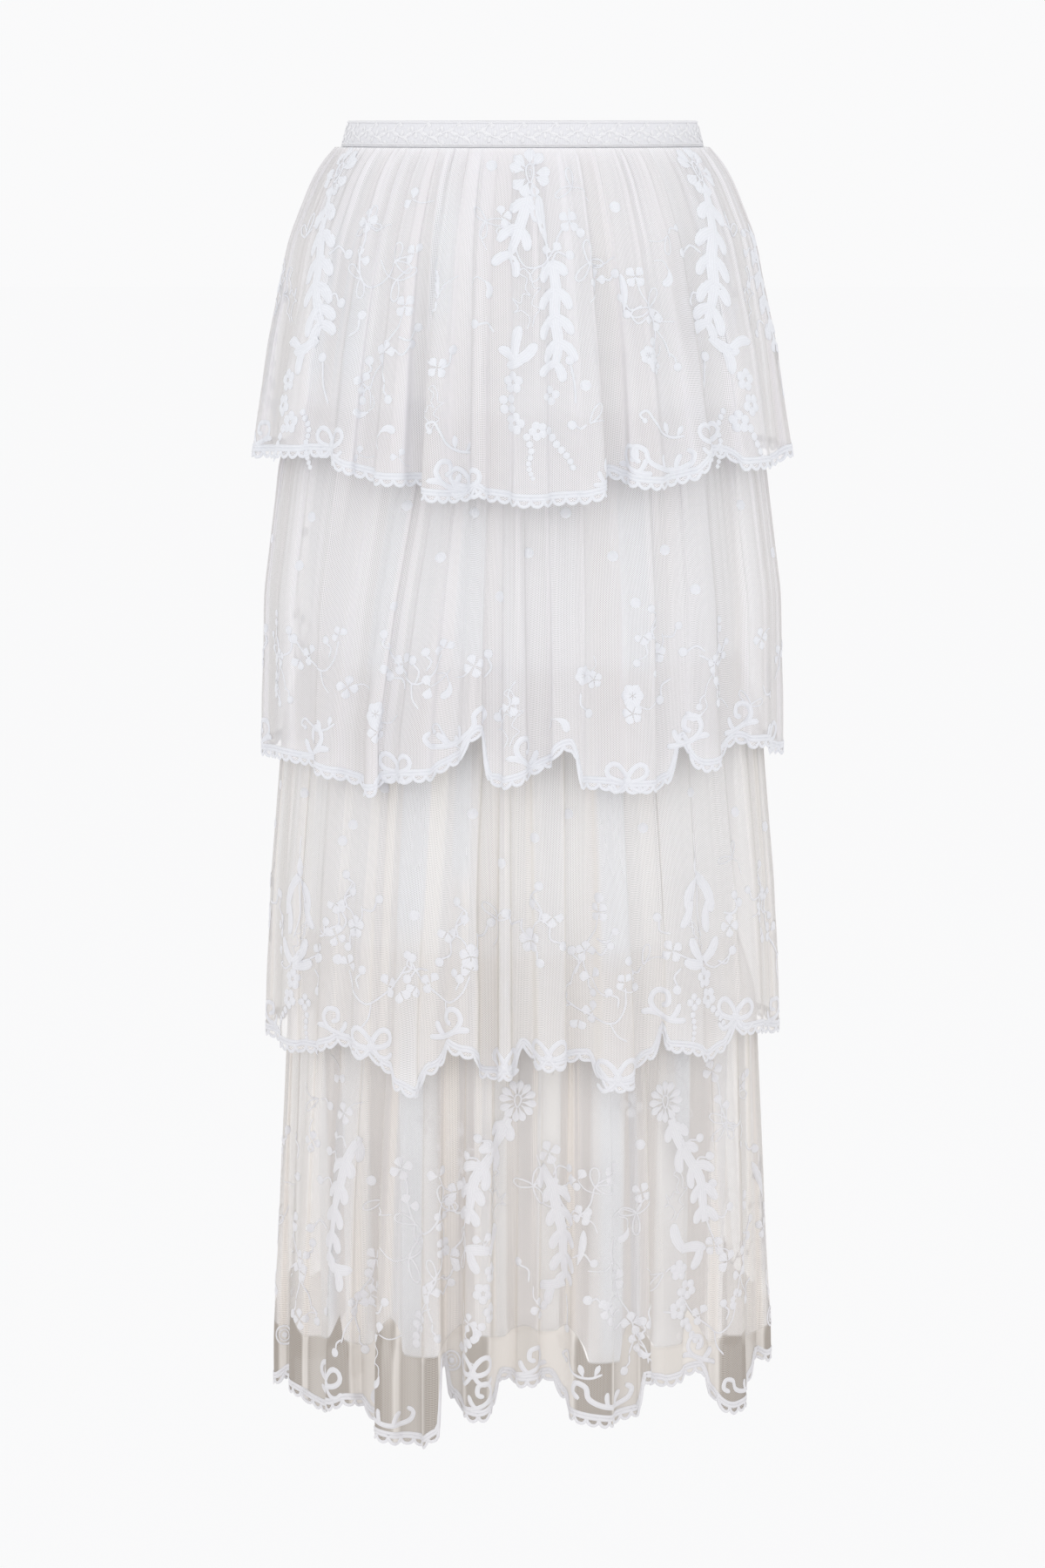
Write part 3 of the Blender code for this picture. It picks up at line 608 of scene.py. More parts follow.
            Pane(2.35, -0.680, -0.862, 0.009), Pane(3.85, -0.620, -0.880, 0.010),
            Pane(7.75, -0.655, -0.900, 0.014), Pane(9.85, -0.620, -0.730, 0.011),
        ],
        seam="lining_slip", cut=(1.48, 0.34)),
}


def turned_to_back(folds, start):
    """Places along the front's folds, moved to where the back repeats them."""
    return [(fold - start) % HALF_FOLDS for fold in folds]


def fold_widths(tier, columns):
    """How wide, in metres, the fold at each column is."""
    start = np.where(columns.side > 0, 0, tier.back_start)
    width_of = np.array([fold.width for fold in tier.folds])
    return width_of[(np.floor(columns.fold).astype(int) + start) % HALF_FOLDS]


def smooth_panes(tier, heights, columns):
    """How much each height and column lies in one of the tier's smooth panes."""
    width = fold_widths(tier, columns)
    total = np.zeros((len(heights), len(columns.fold)))
    for pane in tier.panes:
        along = (np.clip((pane.top - heights) / 0.03, 0, 1)
                 * np.clip((heights - pane.hem) / 0.02, 0, 1))
        for place in (pane.fold, turned_to_back([pane.fold], tier.back_start)[0] + HALF_FOLDS):
            apart = np.abs(columns.fold - place) * width / pane.width
            total = np.maximum(total, along * np.clip((1 - apart) / 0.25, 0, 1))
    return total


def pleats(tier, heights, columns):
    """How strong the narrow flat pleats are at each height and column."""
    width = fold_widths(tier, columns)
    top, hem = tier.levels[0].height, tier.levels[-1].height
    fall = np.clip((top - heights) / (top - hem), 0, 1)
    total = np.zeros((len(heights), len(columns.fold)))
    for number in range(PLEATS):
        place = 2 * HALF_FOLDS * (number + 0.5 + 0.42 * np.sin(5.1 * number)) / PLEATS
        size = 0.62 + 0.38 * np.sin(2.7 * number + 1.0)
        apart = np.abs(columns.fold - place) * width / (
            PLEAT_WIDTH * (0.5 + 0.32 * np.sin(1.9 * number)))
        reach = 0.75 + 0.45 * np.sin(3.3 * number)
        along = np.clip(1.15 - fall / reach, 0.0, 1.0) * np.clip(fall / 0.04, 0, 1)
        total = np.maximum(total, size * np.clip((1 - apart) / 0.3, 0, 1) * along)
    return total * (1 - smooth_panes(tier, heights, columns))


def crease_swell(tier):
    """A function that gives how far a tier's creases and narrow pleats push its cloth out."""
    front = [crease.fold for crease in tier.creases]
    back = [fold + HALF_FOLDS for fold in turned_to_back(front, tier.back_start)]
    placed = list(zip(front + back, tier.creases + tier.creases))

    def swell(heights, columns):
        total = np.zeros((len(heights), len(columns.fold)))
        width = fold_widths(tier, columns)
        for place, crease in placed:
            apart = (columns.fold - place) * width / crease.width
            along = np.clip((crease.top - heights) / (crease.top - crease.hem), 0.0, 1.0)
            total += crease.depth * np.sin(np.pi * along) ** 0.7 * np.exp(-apart ** 2)
        return total + PLEAT_DEPTH * pleats(tier, heights, columns)
    return swell


def gather_envelope(tier, heights):
    """How deep the fine gathers are at each height below a tier's seam."""
    fall = (tier.levels[0].height - heights) / GATHER_FADE
    return GATHER_DEPTH * (0.45 + 4.0 * np.clip(fall, 0, 1)) * np.exp(-3.2 * fall) + 0.0001


def gathers(tier, round_share, heights):
    """How far the fine gathers push the net out, round the skirt and down from the seam."""
    turn = 2 * np.pi * round_share
    wander = 2.1 * np.sin(5 * turn + 0.4) + 1.3 * np.sin(13 * turn + 1.9) + 0.7 * np.sin(31 * turn)
    size = 0.6 + 0.25 * np.sin(17 * turn + 0.6) + 0.25 * np.sin(43 * turn + 2.2)
    slow = 0.55 * np.sin(GATHERS // 3 * turn + 1.7 * np.sin(7 * turn)) * np.clip(
        (tier.levels[0].height - heights) / 0.05, 0.0, 1.0)
    return gather_envelope(tier, heights) * (size * np.sin(GATHERS * turn + wander) + 0.8 * slow)


def eased(places, known):
    """The values at places between known pairs of a place and a value, level at each pair."""
    at, values = map(np.array, zip(*known))
    here = np.clip(np.searchsorted(at, places, side="right") - 1, 0, len(at) - 2)
    share = np.clip((places - at[here]) / (at[here + 1] - at[here]), 0.0, 1.0)
    return values[here] + (values[here + 1] - values[here]) * share ** 2 * (3 - 2 * share)


def swags(tier, cloth):
    """The height of a tier's corded line at every column, where along the hem its swags meet,
    and the length of cloth up to every column."""
    run = cloth.length[int(round((cloth.heights[0] - tier.levels[-1].height) / ROW_STEP))]
    back_bows = sorted({*turned_to_back(tier.bows[:-1], tier.back_start), 0.0, HALF_FOLDS})
    places = list(tier.bows) + [bow + HALF_FOLDS for bow in back_bows[1:]]
    tops = np.interp(places, np.append(cloth.fold, 2 * HALF_FOLDS), run)
    folds, line = zip(*tier.hem)
    back = sorted(zip(turned_to_back(folds, tier.back_start), line))
    known = tier.hem + [(HALF_FOLDS + SIDE_LEVEL, line[-1])]
    known += [(HALF_FOLDS + fold, height) for fold, height in back
              if 2 * SIDE_LEVEL < fold < HALF_FOLDS - 2 * SIDE_LEVEL]
    known += [(2 * HALF_FOLDS - SIDE_LEVEL, line[0]), (2 * HALF_FOLDS, line[0])]
    return eased(cloth.fold, known), tops, run


def picots(tops, run):
    """How far the scallops reach at each length along a hem, as a share of their depth."""
    here = np.clip(np.searchsorted(tops, run, side="right") - 1, 0, len(tops) - 2)
    length = tops[here + 1] - tops[here]
    count = np.maximum(2, np.round(length / PICOT_WIDTH))
    return np.abs(np.sin(np.pi * count * (run - tops[here]) / length)) ** 0.7


# The net's hexagonal holes: the sum of three waves at 60 degrees to each other.
net_group = bpy.data.node_groups.new("hexagonal_net", "ShaderNodeTree")
net_group.interface.new_socket("Cloth", in_out="INPUT", socket_type="NodeSocketVector")
net_group.interface.new_socket("Cell", in_out="INPUT", socket_type="NodeSocketFloat")
net_group.interface.new_socket("Thread", in_out="OUTPUT", socket_type="NodeSocketFloat")
group_in = net_group.nodes.new("NodeGroupInput")
group_out = net_group.nodes.new("NodeGroupOutput")
waves = []
for angle in (0.0, np.pi / 3, 2 * np.pi / 3):
    way = 4 * np.pi / np.sqrt(3) * np.array([np.cos(angle), np.sin(angle), 0.0])
    along = add_node(net_group, "ShaderNodeVectorMath", "DOT_PRODUCT", {
        0: group_in.outputs["Cloth"], 1: way}).outputs["Value"]
    turn = arithmetic(net_group, "DIVIDE", along, group_in.outputs["Cell"])
    waves.append(arithmetic(net_group, "COSINE", turn))
pair = arithmetic(net_group, "ADD", waves[0], waves[1])
total = arithmetic(net_group, "ADD", pair, waves[2])
mask = spread(net_group, total, 0.9, -0.6, interpolation_type="SMOOTHSTEP")
net_group.links.new(mask, group_out.inputs["Thread"])

NET_CELL = 0.0012               # from one hole of the net to the next
STREAKS = (85.0, 0.8, 1.0)      # how often the gathers crowd and open, across and down a metre
PANELS = (26.0, 2.5, 1.0)       # and how often the tone of its panels changes
PANEL_WARMTH = (0.985, 0.975, 0.968)
FLANK_SHADE = (0.875, 0.872, 0.86)      # of net seen nearly edge on: partly its denser look at a grazing angle, partly painted shade on the sides and the flanks of the folds
PANE_PAINTED_LIGHT = (0.915, 0.925, 0.96)       # painted light: the pale tone of lit satin, painted on the net where it lies smooth over the satin
SHADE_OPACITY = 0.94            # of the net where no lining hangs behind it
SHADE_HOLE = (0.19, 0.158, 0.13)       # the dark inside that shows there through the net's holes
SHADE_THREAD = (0.51, 0.465, 0.425)    # its threads before that dark
SHADE_CROWDED = (0.77, 0.73, 0.69)     # where its layers crowd, on the sides of its folds
HEM_EDGE = 0.002                # height over which the shade below the lining's hem sets in


def net_material(name, crest, hollow, crowd, inside, hole_opacity, thread_opacity):
    """Net that is denser where its gathers crowd, warmer in its hollows with painted shade, and
    painted dark below the lining, where it hangs in front of its own shade. crest and hollow are
    the colours of its folds, the hollow one a painted warm shade that in the third and fourth
    tiers is also lighter, painted light on the valleys; inside is painted shade on its inner face;
    crowd is what many layers are tinted with, and one layer has its own opacity in a hole, with
    its fine fuzz, and on a thread."""
    material = bpy.data.materials.new(name)
    tree, shader = shader_nodes(material)
    cloth_uv = add_node(tree, "ShaderNodeUVMap", uv_map="cloth").outputs[0]
    thread = add_node(tree, "ShaderNodeGroup", node_tree=net_group, inputs={
        "Cloth": cloth_uv, "Cell": NET_CELL}).outputs[0]
    denser = spread(tree, cloth_noise(tree, cloth_uv, STREAKS, 1.5), 0.3, 0.7, 0.95, 1.06)
    layers = arithmetic(tree, "MULTIPLY", attribute(tree, "crowding"), denser)
    clear = spread(tree, thread, 0.0, 1.0, 1 - hole_opacity, 1 - thread_opacity)
    opacity = arithmetic(tree, "SUBTRACT", 1.0, arithmetic(tree, "POWER", clear, layers))
    below = spread(tree, attribute(tree, "below_lining"), 0.0, HEM_EDGE)
    shaded = arithmetic(tree, "MULTIPLY", below, SHADE_OPACITY)
    tree.links.new(arithmetic(tree, "MAXIMUM", opacity, shaded), shader.inputs["Alpha"])

    # Painted shade and light in the folds: the hollow colour is warmer than the crest's, and in the
    # third and fourth tiers also lighter.
    hollows = attribute(tree, "hollow")
    tint = blend(tree, hollows, crest, hollow)
    panels = spread(tree, cloth_noise(tree, cloth_uv, PANELS, 1.0), 0.42, 0.62)
    tint = blend(tree, panels, tint, PANEL_WARMTH, "MULTIPLY")
    tint = blend(tree, spread(tree, layers, 1.4, 3.0), tint, crowd, "MULTIPLY")
    # Painted shade, partly real: net seen nearly edge on is darkened, partly for its denser look,
    # partly as shade on the sides and fold flanks.
    edge_on = add_node(tree, "ShaderNodeLayerWeight", inputs={"Blend": 0.5}).outputs["Facing"]
    tint = blend(tree, spread(tree, edge_on, 0.35, 0.78), tint, FLANK_SHADE, "MULTIPLY")
    # Painted light: where the net lies smooth it is given the pale tone of lit satin, as the satin
    # behind it lies in shade.
    tint = blend(tree, attribute(tree, "pane"), tint, PANE_PAINTED_LIGHT)
    # Painted shade: the net's inner face is painted darker, for the shade inside the skirt.
    face = tree.nodes.new("ShaderNodeNewGeometry")
    tint = blend(tree, face.outputs["Backfacing"], tint, inside)

    crowded = arithmetic(tree, "MAXIMUM", spread(tree, layers, 1.4, 2.3),
                         spread(tree, hollows, 0.04, 0.55))
    shade = blend(tree, crowded, blend(tree, thread, SHADE_HOLE, SHADE_THREAD), SHADE_CROWDED)
    tree.links.new(blend(tree, below, tint, shade), shader.inputs["Base Color"])
    shader.inputs["Roughness"].default_value = 0.8
    shader.inputs["Specular IOR Level"].default_value = 0.2
    relief(tree, shader, thread, 0.2)
    return material


# crest and hollow are the folds' colours, with painted warm shade in the hollows, painted lighter
# there in the third and fourth tiers; inside is painted shade on the inner face.
NetTint = namedtuple("NetTint", "crest hollow crowd inside hole_opacity thread_opacity")
NET_TINTS = {
    "tier1": NetTint((0.885, 0.873, 0.897), (0.885, 0.872, 0.877), (0.956, 0.956, 0.963),
                     (0.76, 0.735, 0.70), 0.26, 0.66),
    "tier2": NetTint((0.882, 0.870, 0.893), (0.885, 0.868, 0.875), (0.956, 0.956, 0.960),
                     (0.74, 0.71, 0.675), 0.24, 0.64),
    "tier3": NetTint((0.900, 0.880, 0.883), (0.935, 0.910, 0.893), (0.950, 0.940, 0.910),
                     (0.70, 0.67, 0.63), 0.22, 0.60),
    "tier4": NetTint((0.930, 0.900, 0.890), (0.955, 0.920, 0.890), (0.960, 0.940, 0.905),
                     (0.64, 0.605, 0.565), 0.16, 0.50),
}
HEM_SIGHT = 0.28                # slope at which the net is looked through onto the lining's hem
HEM_REACH = 0.2                 # the hem is looked up at so many places, this far to either side
HEM_PLACES = 200
SEEN_NARROWER = 0.988           # how much narrower the hem seems on the net that hangs before it
HEM_OVERLAP = 0.0035            # how far the shade laps over the lining's hem
HEM_NEAR = 0.03                 # farther from the hem than this, the distance stays the same
BESIDE = (0.160, 0.178)         # from here outward the hem is met straight from the side
PLEAT_CROWDING = 1.1            # how much more net lies in a pleat than beside it
LOWER_HALF_LIFT = 0.28             # painted light by opacity: how much more opaque the lower half is made, down to the lining's hem
PANE_CLEARING = 0.1             # how much less lies in a smooth pane
PANE_LIGHT_SHARE = 0.7                # how much of that painted light of lit satin shows in a smooth pane
NET_MARGIN = 0.055              # how far below its last level a tier's cloth is worked out


def seen_hem(back):
    """Places across, and how low the lining's hem is seen there through the net that hangs
    before it, as heights less their room."""
    closed = np.vstack([lining_rows[-1], lining_rows[-1, :1]])
    dense = np.arange(0.0, len(closed) - 1, 0.05)
    across, deep, height = (
        np.interp(dense, np.arange(len(closed)), closed[:, axis]) for axis in range(3))
    side = (deep > 0) == back
    lowest = np.zeros(HEM_PLACES)
    place = ((across[side] / HEM_REACH + 1) / 2 * (HEM_PLACES - 1)).astype(int)
    np.minimum.at(lowest, place, (height - HEM_SIGHT * np.abs(deep))[side])
    seen = np.flatnonzero(lowest)
    return (2 * seen / (HEM_PLACES - 1) - 1) * HEM_REACH * SEEN_NARROWER, lowest[seen]


def below_hem(rows):
    """How far net points lie below the lining's hem as it is seen through them: from the front
    or the back, and near the sides straight inward."""
    across, deep, height = rows[..., 0], rows[..., 1], rows[..., 2]
    ahead = np.where(deep < 0, np.interp(across, *front_seen), np.interp(across, *back_seen))
    hem = lining_rows[-1]
    inward = np.interp(np.arctan2(across, deep), np.arctan2(hem[:, 0], hem[:, 1]),
                       hem[:, 2] - HEM_SIGHT * np.hypot(hem[:, 0], hem[:, 1]), period=2 * np.pi)
    beside = np.clip((np.abs(across) - BESIDE[0]) / (BESIDE[1] - BESIDE[0]), 0.0, 1.0)
    seen = (1 - beside) * (ahead + HEM_SIGHT * np.abs(deep)) + beside * (
        inward + HEM_SIGHT * np.hypot(across, deep))
    return seen + HEM_OVERLAP - height


front_seen, back_seen = seen_hem(False), seen_hem(True)
cloths, hems = {}, {}
for name, tier in TIERS.items():
    top, hem = tier.levels[0].height, tier.levels[-1].height
    columns = all_round(tier.folds, tier.valleys, tier.back_start, NET_COLUMNS, tier.levels[-1])
    cloth = hang(tier.levels, columns, hem - NET_MARGIN, crease_swell(tier))
    line, tops, run = swags(tier, cloth)
    cloths[name], hems[name] = cloth, (line, tops, run)
    share = np.append(np.linspace(0.0, 1.0, NET_ROWS - 1) ** 1.25, 1.0)[:, None]
    heights = top + (line - top) * share
    heights[-1] -= PICOT_DROP * picots(tops, run[:-1])
    heights[-2] += HEM_CORD / 2
    lift = gathers(tier, run[:-1] / run[-1], heights)
    rows = on_cloth(cloth, np.arange(2 * NET_COLUMNS), heights, lift)
    steps = np.linalg.norm((np.roll(rows, -1, axis=1) - rows)[..., :2], axis=2)
    outward = between(cloth.outward, (top - heights) / ROW_STEP,
                      np.broadcast_to(np.arange(2 * NET_COLUMNS), heights.shape))
    facing = np.abs((normals_of(rows) * outward).sum(axis=2))
    under = below_hem(rows)
    before_lining = 1 - np.clip(under / HEM_EDGE, 0.0, 1.0)
    pane = smooth_panes(tier, heights, columns) * before_lining
    crowding = tier.cut[0] / steps.sum(axis=1)[:, None] / np.clip(facing, 0.5, 1.0)
    crowding *= (1 + PLEAT_CROWDING * pleats(tier, heights, columns)) * (1 - PANE_CLEARING * pane)
    # Painted light by opacity: the lower half is made more opaque down to the lining's hem, so that
    # less of the shade behind it shows.
    lower = np.clip(((top - heights) / (top - hem) - 0.5) / 0.3, 0, 1)
    crowding *= 1 + LOWER_HALF_LIFT * before_lining * lower
    # How deep the net lies in the valleys between its folds: it places the painted shade of the
    # hollows and, below the lining, the cream of crowded net.
    hollow = np.clip(1 - columns.rise, 0, 1) ** 2 * np.clip((top - heights) / 0.08, 0.0, 1.0)
    piece = sheet_round(f"{name}_net", rows, run[:-1] * tier.cut[0] / run[-1], {
        "crowding": crowding, "hollow": hollow, "pane": PANE_LIGHT_SHARE * pane,
        "below_lining": np.clip(under, -HEM_NEAR, HEM_NEAR)})
    piece.data.materials.append(net_material(f"{name}_soft_net", *NET_TINTS[name]))
    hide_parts(f"{name}_front", f"{name}_back")


# ---------------------------------------------------------------- embroidery
# White thread worked on every tier: padded leaves and petals, blossoms of coiled rings, trails
# of beads and corded twigs, and along the hems double-corded swags edged with small scallops,
# with a bow where two swags meet. The shapes are in millimetres, as complex numbers: along the
# cloth and up it.
Strip = namedtuple("Strip", "shape rise along across coil")
Motif = namedtuple("Motif", "kind fold height turn size flip behind",
                   defaults=(0.0, 1.0, False, False))

MM = 0.001
THREAD_ACROSS = np.array([-1.0, -0.5, 0.5, 1.0])
THREAD_RISE = np.array([0.0, 0.55, 0.55, 0.0])
THREAD_CLEAR = 0.00015          # between the net and the underside of the thread
THREAD_BEHIND = 0.0016          # how far behind the net the motifs of its under layer lie
TWIST = 0.0013                  # from one strand to the next along a cord
STRAND_ROW = 0.0017             # and across it
COIL = 0.0012                   # from one turn of a bead's cord to the next
THREAD_SHADE = 0.905            # painted shade: how dark the thread is where its strands meet


def heading(degrees):
    """A step of 1 mm in a direction that starts along the cloth and turns up it."""
    return np.exp(1j * np.radians(degrees))


def strip(path, width, rise, coil=0.0):
    """A raised strip of thread along a path, as a ring of four points at each of its points."""
    path = np.asarray(path, complex)
    ahead = np.gradient(path)
    sideways = 1j * ahead / np.abs(ahead)
    across = np.outer(np.broadcast_to(width, path.shape) / 2, THREAD_ACROSS)
    along = np.concatenate([[0.0], np.cumsum(np.abs(np.diff(path)))])
    along = np.repeat(along[:, None] - coil * along[-1] / 2, len(THREAD_ACROSS), axis=1)
    rise = np.outer(np.broadcast_to(rise, path.shape), THREAD_RISE)
    return Strip(path[:, None] + sideways[:, None] * across, rise, along, across,
                 np.full(across.shape, coil))


def curve(points, step=1.6):
    """A smooth path through a few points."""
    points = np.asarray(points, complex)
    points = np.concatenate([[2 * points[0] - points[1]], points, [2 * points[-1] - points[-2]]])
    pieces = []
    for before, start, end, after in zip(points, points[1:], points[2:], points[3:]):
        share = np.linspace(0, 1, max(2, int(abs(end - start) / step)), endpoint=False)
        pieces.append(0.5 * (2 * start + (end - before) * share
                             + (2 * before - 5 * start + 4 * end - after) * share ** 2
                             + (3 * start - before - 3 * end + after) * share ** 3))
    return np.concatenate(pieces + [points[-2:-1]])


def cord(points, width=1.3):
    """A round cord couched down along a smooth path."""
    path = curve(points)
    ends = np.ones(len(path))
    ends[[0, -1]] = 0.55
    return strip(path, width * ends, (0.25 + 0.25 * width) * ends)


def leaf(base, tip, width, bend=0.0, widest=0.6, rise=0.8):
    """A padded leaf or petal with a rounded end; bend is how far it bows to its left."""
    share = np.array([0.0, 0.08, 0.2, 0.36, 0.52, 0.68, 0.82, 0.93, 1.0])
    path = base + (tip - base) * (share + 1j * bend * np.sin(np.pi * share))
    swell = np.sin(np.pi * share ** (np.log(0.5) / np.log(widest))) ** 0.7
    return strip(path, 1.15 * width * np.maximum(swell, 0.16), rise * np.maximum(swell, 0.3) ** 0.6)


def lobe(base, tip, width, bend=0.0):
    """A padded lobe, broad from its root on and round at its end."""
    share = np.array([0.0, 0.2, 0.45, 0.66, 0.82, 0.93, 1.0])
    path = base + (tip - base) * (share + 1j * bend * np.sin(np.pi * share))
    return strip(path, width * np.array([.75, .86, .98, 1, .9, .68, .3]), 1.0)


def bead(centre=0.0, radius=3.4, rise=0.9):
    """A disc of cord wound round itself."""
    turn = np.radians([180, 155, 128, 90, 52, 25, 0])
    swell = np.maximum(np.sin(turn), 0.12)
    return strip(centre + radius * np.cos(turn), 2 * radius * swell,
                 rise * (0.35 + 0.65 * swell), coil=1.0)


def loop(knot, turn, length, width, thickness):
    """A pointed loop of cord that leaves a knot and comes back to it."""
    share = np.linspace(0.0, 1.0, 17)
    out = length * (1 - np.cos(2 * np.pi * share)) / 2
    side = width / 2 * np.sin(2 * np.pi * share) * (0.45 + 0.55 * out / length) * 1.25
    return strip(knot + heading(turn) * (out + 1j * side), thickness, 0.25 + 0.25 * thickness)


def berry(reach=17.0, bend=4.0):
    """A bead at the end of a bent stalk that leaves it to the right."""
    return [bead(), cord([2.4, reach * 0.55 + 1j * bend, reach], 1.6)]


def floret(petals=4, size=8.0, first=0.0, spread=360.0):
    """A small flower of plump petals."""
    step = spread / petals
    return [leaf(1.0 * heading(first + step * number), size * heading(first + step * number),
                 size * 0.70, widest=0.64) for number in range(petals)]


def blossom(centre, first, petals=5, size=1.1):
    """A small flower of coiled rings round an open middle."""
    return [bead(centre + 4.2 * size * heading(first + 360 / petals * number), 3.0 * size, 1.0)
            for number in range(petals)]


def trail(points, first, last):
    """Beads that touch each other along a path and get smaller."""
    path = curve(points, 0.5)
    run = np.concatenate([[0.0], np.cumsum(np.abs(np.diff(path)))])
    beads, place = [], 0.0
    while place < run[-1]:
        radius = first + (last - first) * place / run[-1]
        beads.append(bead(np.interp(place, run, path), radius))
        place += 2.0 * radius
    return beads


def open_leaves(turns, length=16.0, width=6.0):
    """Leaves drawn in outline by a thin cord, from one knot."""
    return [loop(0.0, turn, length * (1 - 0.12 * (number % 2)), width, 1.25)
            for number, turn in enumerate(turns)]


def bough(points, nodes, width=7.0):
    """A padded bough that spreads into plump lobes like fingers; a node is its place along the
    bough and how long the lobes to its left and right are."""
    spine = curve(points, 5.0)
    run = np.concatenate([[0.0], np.cumsum(np.abs(np.diff(spine)))])
    taper = 0.75 + 0.4 * np.sin(np.pi * np.linspace(0.1, 0.95, len(spine)))
    strips = [strip(spine, width * taper, 1.0)]
    for place, left, right in nodes:
        root, ahead = np.interp([place * run[-1], place * run[-1] + 3.0], run, spine)
        way = np.exp(1j * np.angle(ahead - root)) if ahead != root else heading(-90)
        strips += [lobe(root, root + reach * way * heading(turn), width, 0.12 * np.sign(turn))
                   for reach, turn in ((left, -38), (right, 38)) if reach]
    return strips


def twig():
    """A thin cord that runs out and back in short tines, like a frayed twig."""
    path = [0, 3 + 7j, -2 + 13j, -8 + 12j, -4 + 15j, -7 + 22j, -2 + 18j, 1 + 24j, 6 + 22j, 3 + 27j,
            5 + 34j, 38j, 4 + 41j, 8 + 35j, 9 + 27j, 14 + 26j, 9 + 22j, 6 + 16j, 11 + 12j, 7 + 8j,
            4 + 1j]
    return [cord(path, 0.9)]


def flower_head():
    """A flower of plump petals round a pointed oval middle, outlined in cord."""
    petals = []
    for number in range(9):
        way = heading(90 + 40 * number + 8 * np.sin(2.4 * number))
        ring = 4.6 * way.real + 1j * 6.4 * way.imag
        petals.append(leaf(ring, ring + 10.5 * way, 7.0, widest=0.66, rise=1.0))
    return petals + [loop(-6.5j, 90, 13.0, 6.2, 1.4), loop(-2.8j, 90, 5.6, 2.4, 0.8)]


def daisy():
    """A flower of slim petals round an oval middle."""
    petals = []
    for number in range(12):
        way = heading(90 + 30 * number + 5 * np.sin(3.1 * number))
        ring = 3.6 * way.real + 1j * 4.8 * way.imag
        petals.append(leaf(ring, ring + 10.5 * way, 5.0, widest=0.70, rise=0.9))
    return petals + [loop(-4.6j, 90, 9.2, 5.4, 1.4)]


def moved(strips, to=0.0, turn=0.0, size=1.0, flip=False):
    """The strips turned, resized and moved; flipped from left to right first if flip is set."""
    made = []
    for piece in strips:
        shape, rise, along, across, coil = piece
        if flip:
            shape, rise, along, across = (
                part[:, ::-1] for part in (-shape.conj(), rise, along, across))
        made.append(Strip(to + size * heading(turn) * shape, rise * size, along, across, coil))
    return made


def garland():
    """The first tier's spray: a flower head, two boughs, and blossoms that end in bead trails."""
    strips = flower_head()
    strips += bough([-1 - 15j, -6 - 30j, -12 - 46j, -17 - 58j],
                    [(.08, 15, 16), (.50, 19, 17), (.94, 15, 16)])
    strips += [leaf(6 - 15j, 12 - 50j, 6.5, -0.04, 0.3), cord([12 - 48j, 12 - 58j, 15 - 66j], 1.4)]
    strips += bough([15 - 60j, 18 - 78j, 17 - 96j, 20 - 118j, 17 - 132j],
                    [(.02, 15, 13), (.27, 18, 17), (.52, 19, 18), (.76, 18, 19), (.97, 15, 14)])
    strips += moved(berry(30, 1), 28 - 128j, -82) + moved(berry(14, -5), 28 - 56j, 200)
    strips += moved(twig(), -4 - 106j, 8)
    strips += [lobe(-14 - 128j, -9 - 104j, 8.0, 0.06), lobe(-14 - 129j, 2 - 116j, 8.0, -0.1),
               lobe(-13 - 130j, -26 - 120j, 7.0, -0.12), lobe(-8 - 128j, -20 - 132j, 7.0)]
    strips += blossom(-15 - 143j, 20) + blossom(-20 - 158j, 50, 4) + blossom(-14 - 171j, 75)
    strips += trail([-5 - 180j, -2 - 190j, -4 - 200j, -1 - 209j], 2.7, 1.5)
    strips += blossom(14 - 152j, 10, 4, 0.95) + blossom(3 - 176j, 40, 5, 0.95)
    strips += trail([12 - 176j, 19 - 186j, 27 - 195j, 31 - 203j], 3.0, 2.2)
    return strips


def long_garland():
    """The same spray with one bough that runs the tier's whole height."""
    strips = flower_head()
    strips += bough([1 - 15j, -1 - 36j, -5 - 58j, -4 - 80j, -10 - 104j], [
        (.08, 15, 16), (.28, 19, 17), (.48, 18, 20), (.67, 20, 18), (.86, 18, 20), (.99, 15, 12),
    ], 7.4)
    strips += moved(berry(32, 2), -12 - 126j, -98) + moved(berry(17, 5), -30 - 60j, 10)
    strips += moved(berry(14, 5), -26 - 92j, 20)
    strips += [lobe(-8 - 112j, 14 - 118j, 8.0, -0.12), lobe(2 - 116j, 9 - 134j, 7.5, 0.1),
               lobe(8 - 117j, 26 - 110j, 7.0, 0.15)]
    strips += moved(twig(), 28 - 96j, -14) + moved(open_leaves([100, 40]), 20 - 40j)
    strips += [cord([2 - 30j, 12 - 34j, 20 - 40j], 1.2)]
    strips += blossom(20 - 136j, 15) + blossom(26 - 152j, 60) + blossom(16 - 165j, 30)
    strips += trail([25 - 168j, 32 - 178j, 40 - 190j], 3.0, 2.4)
    strips += trail([4 - 160j, 0 - 172j, 3 - 184j, 0 - 198j], 2.3, 1.6)
    return strips


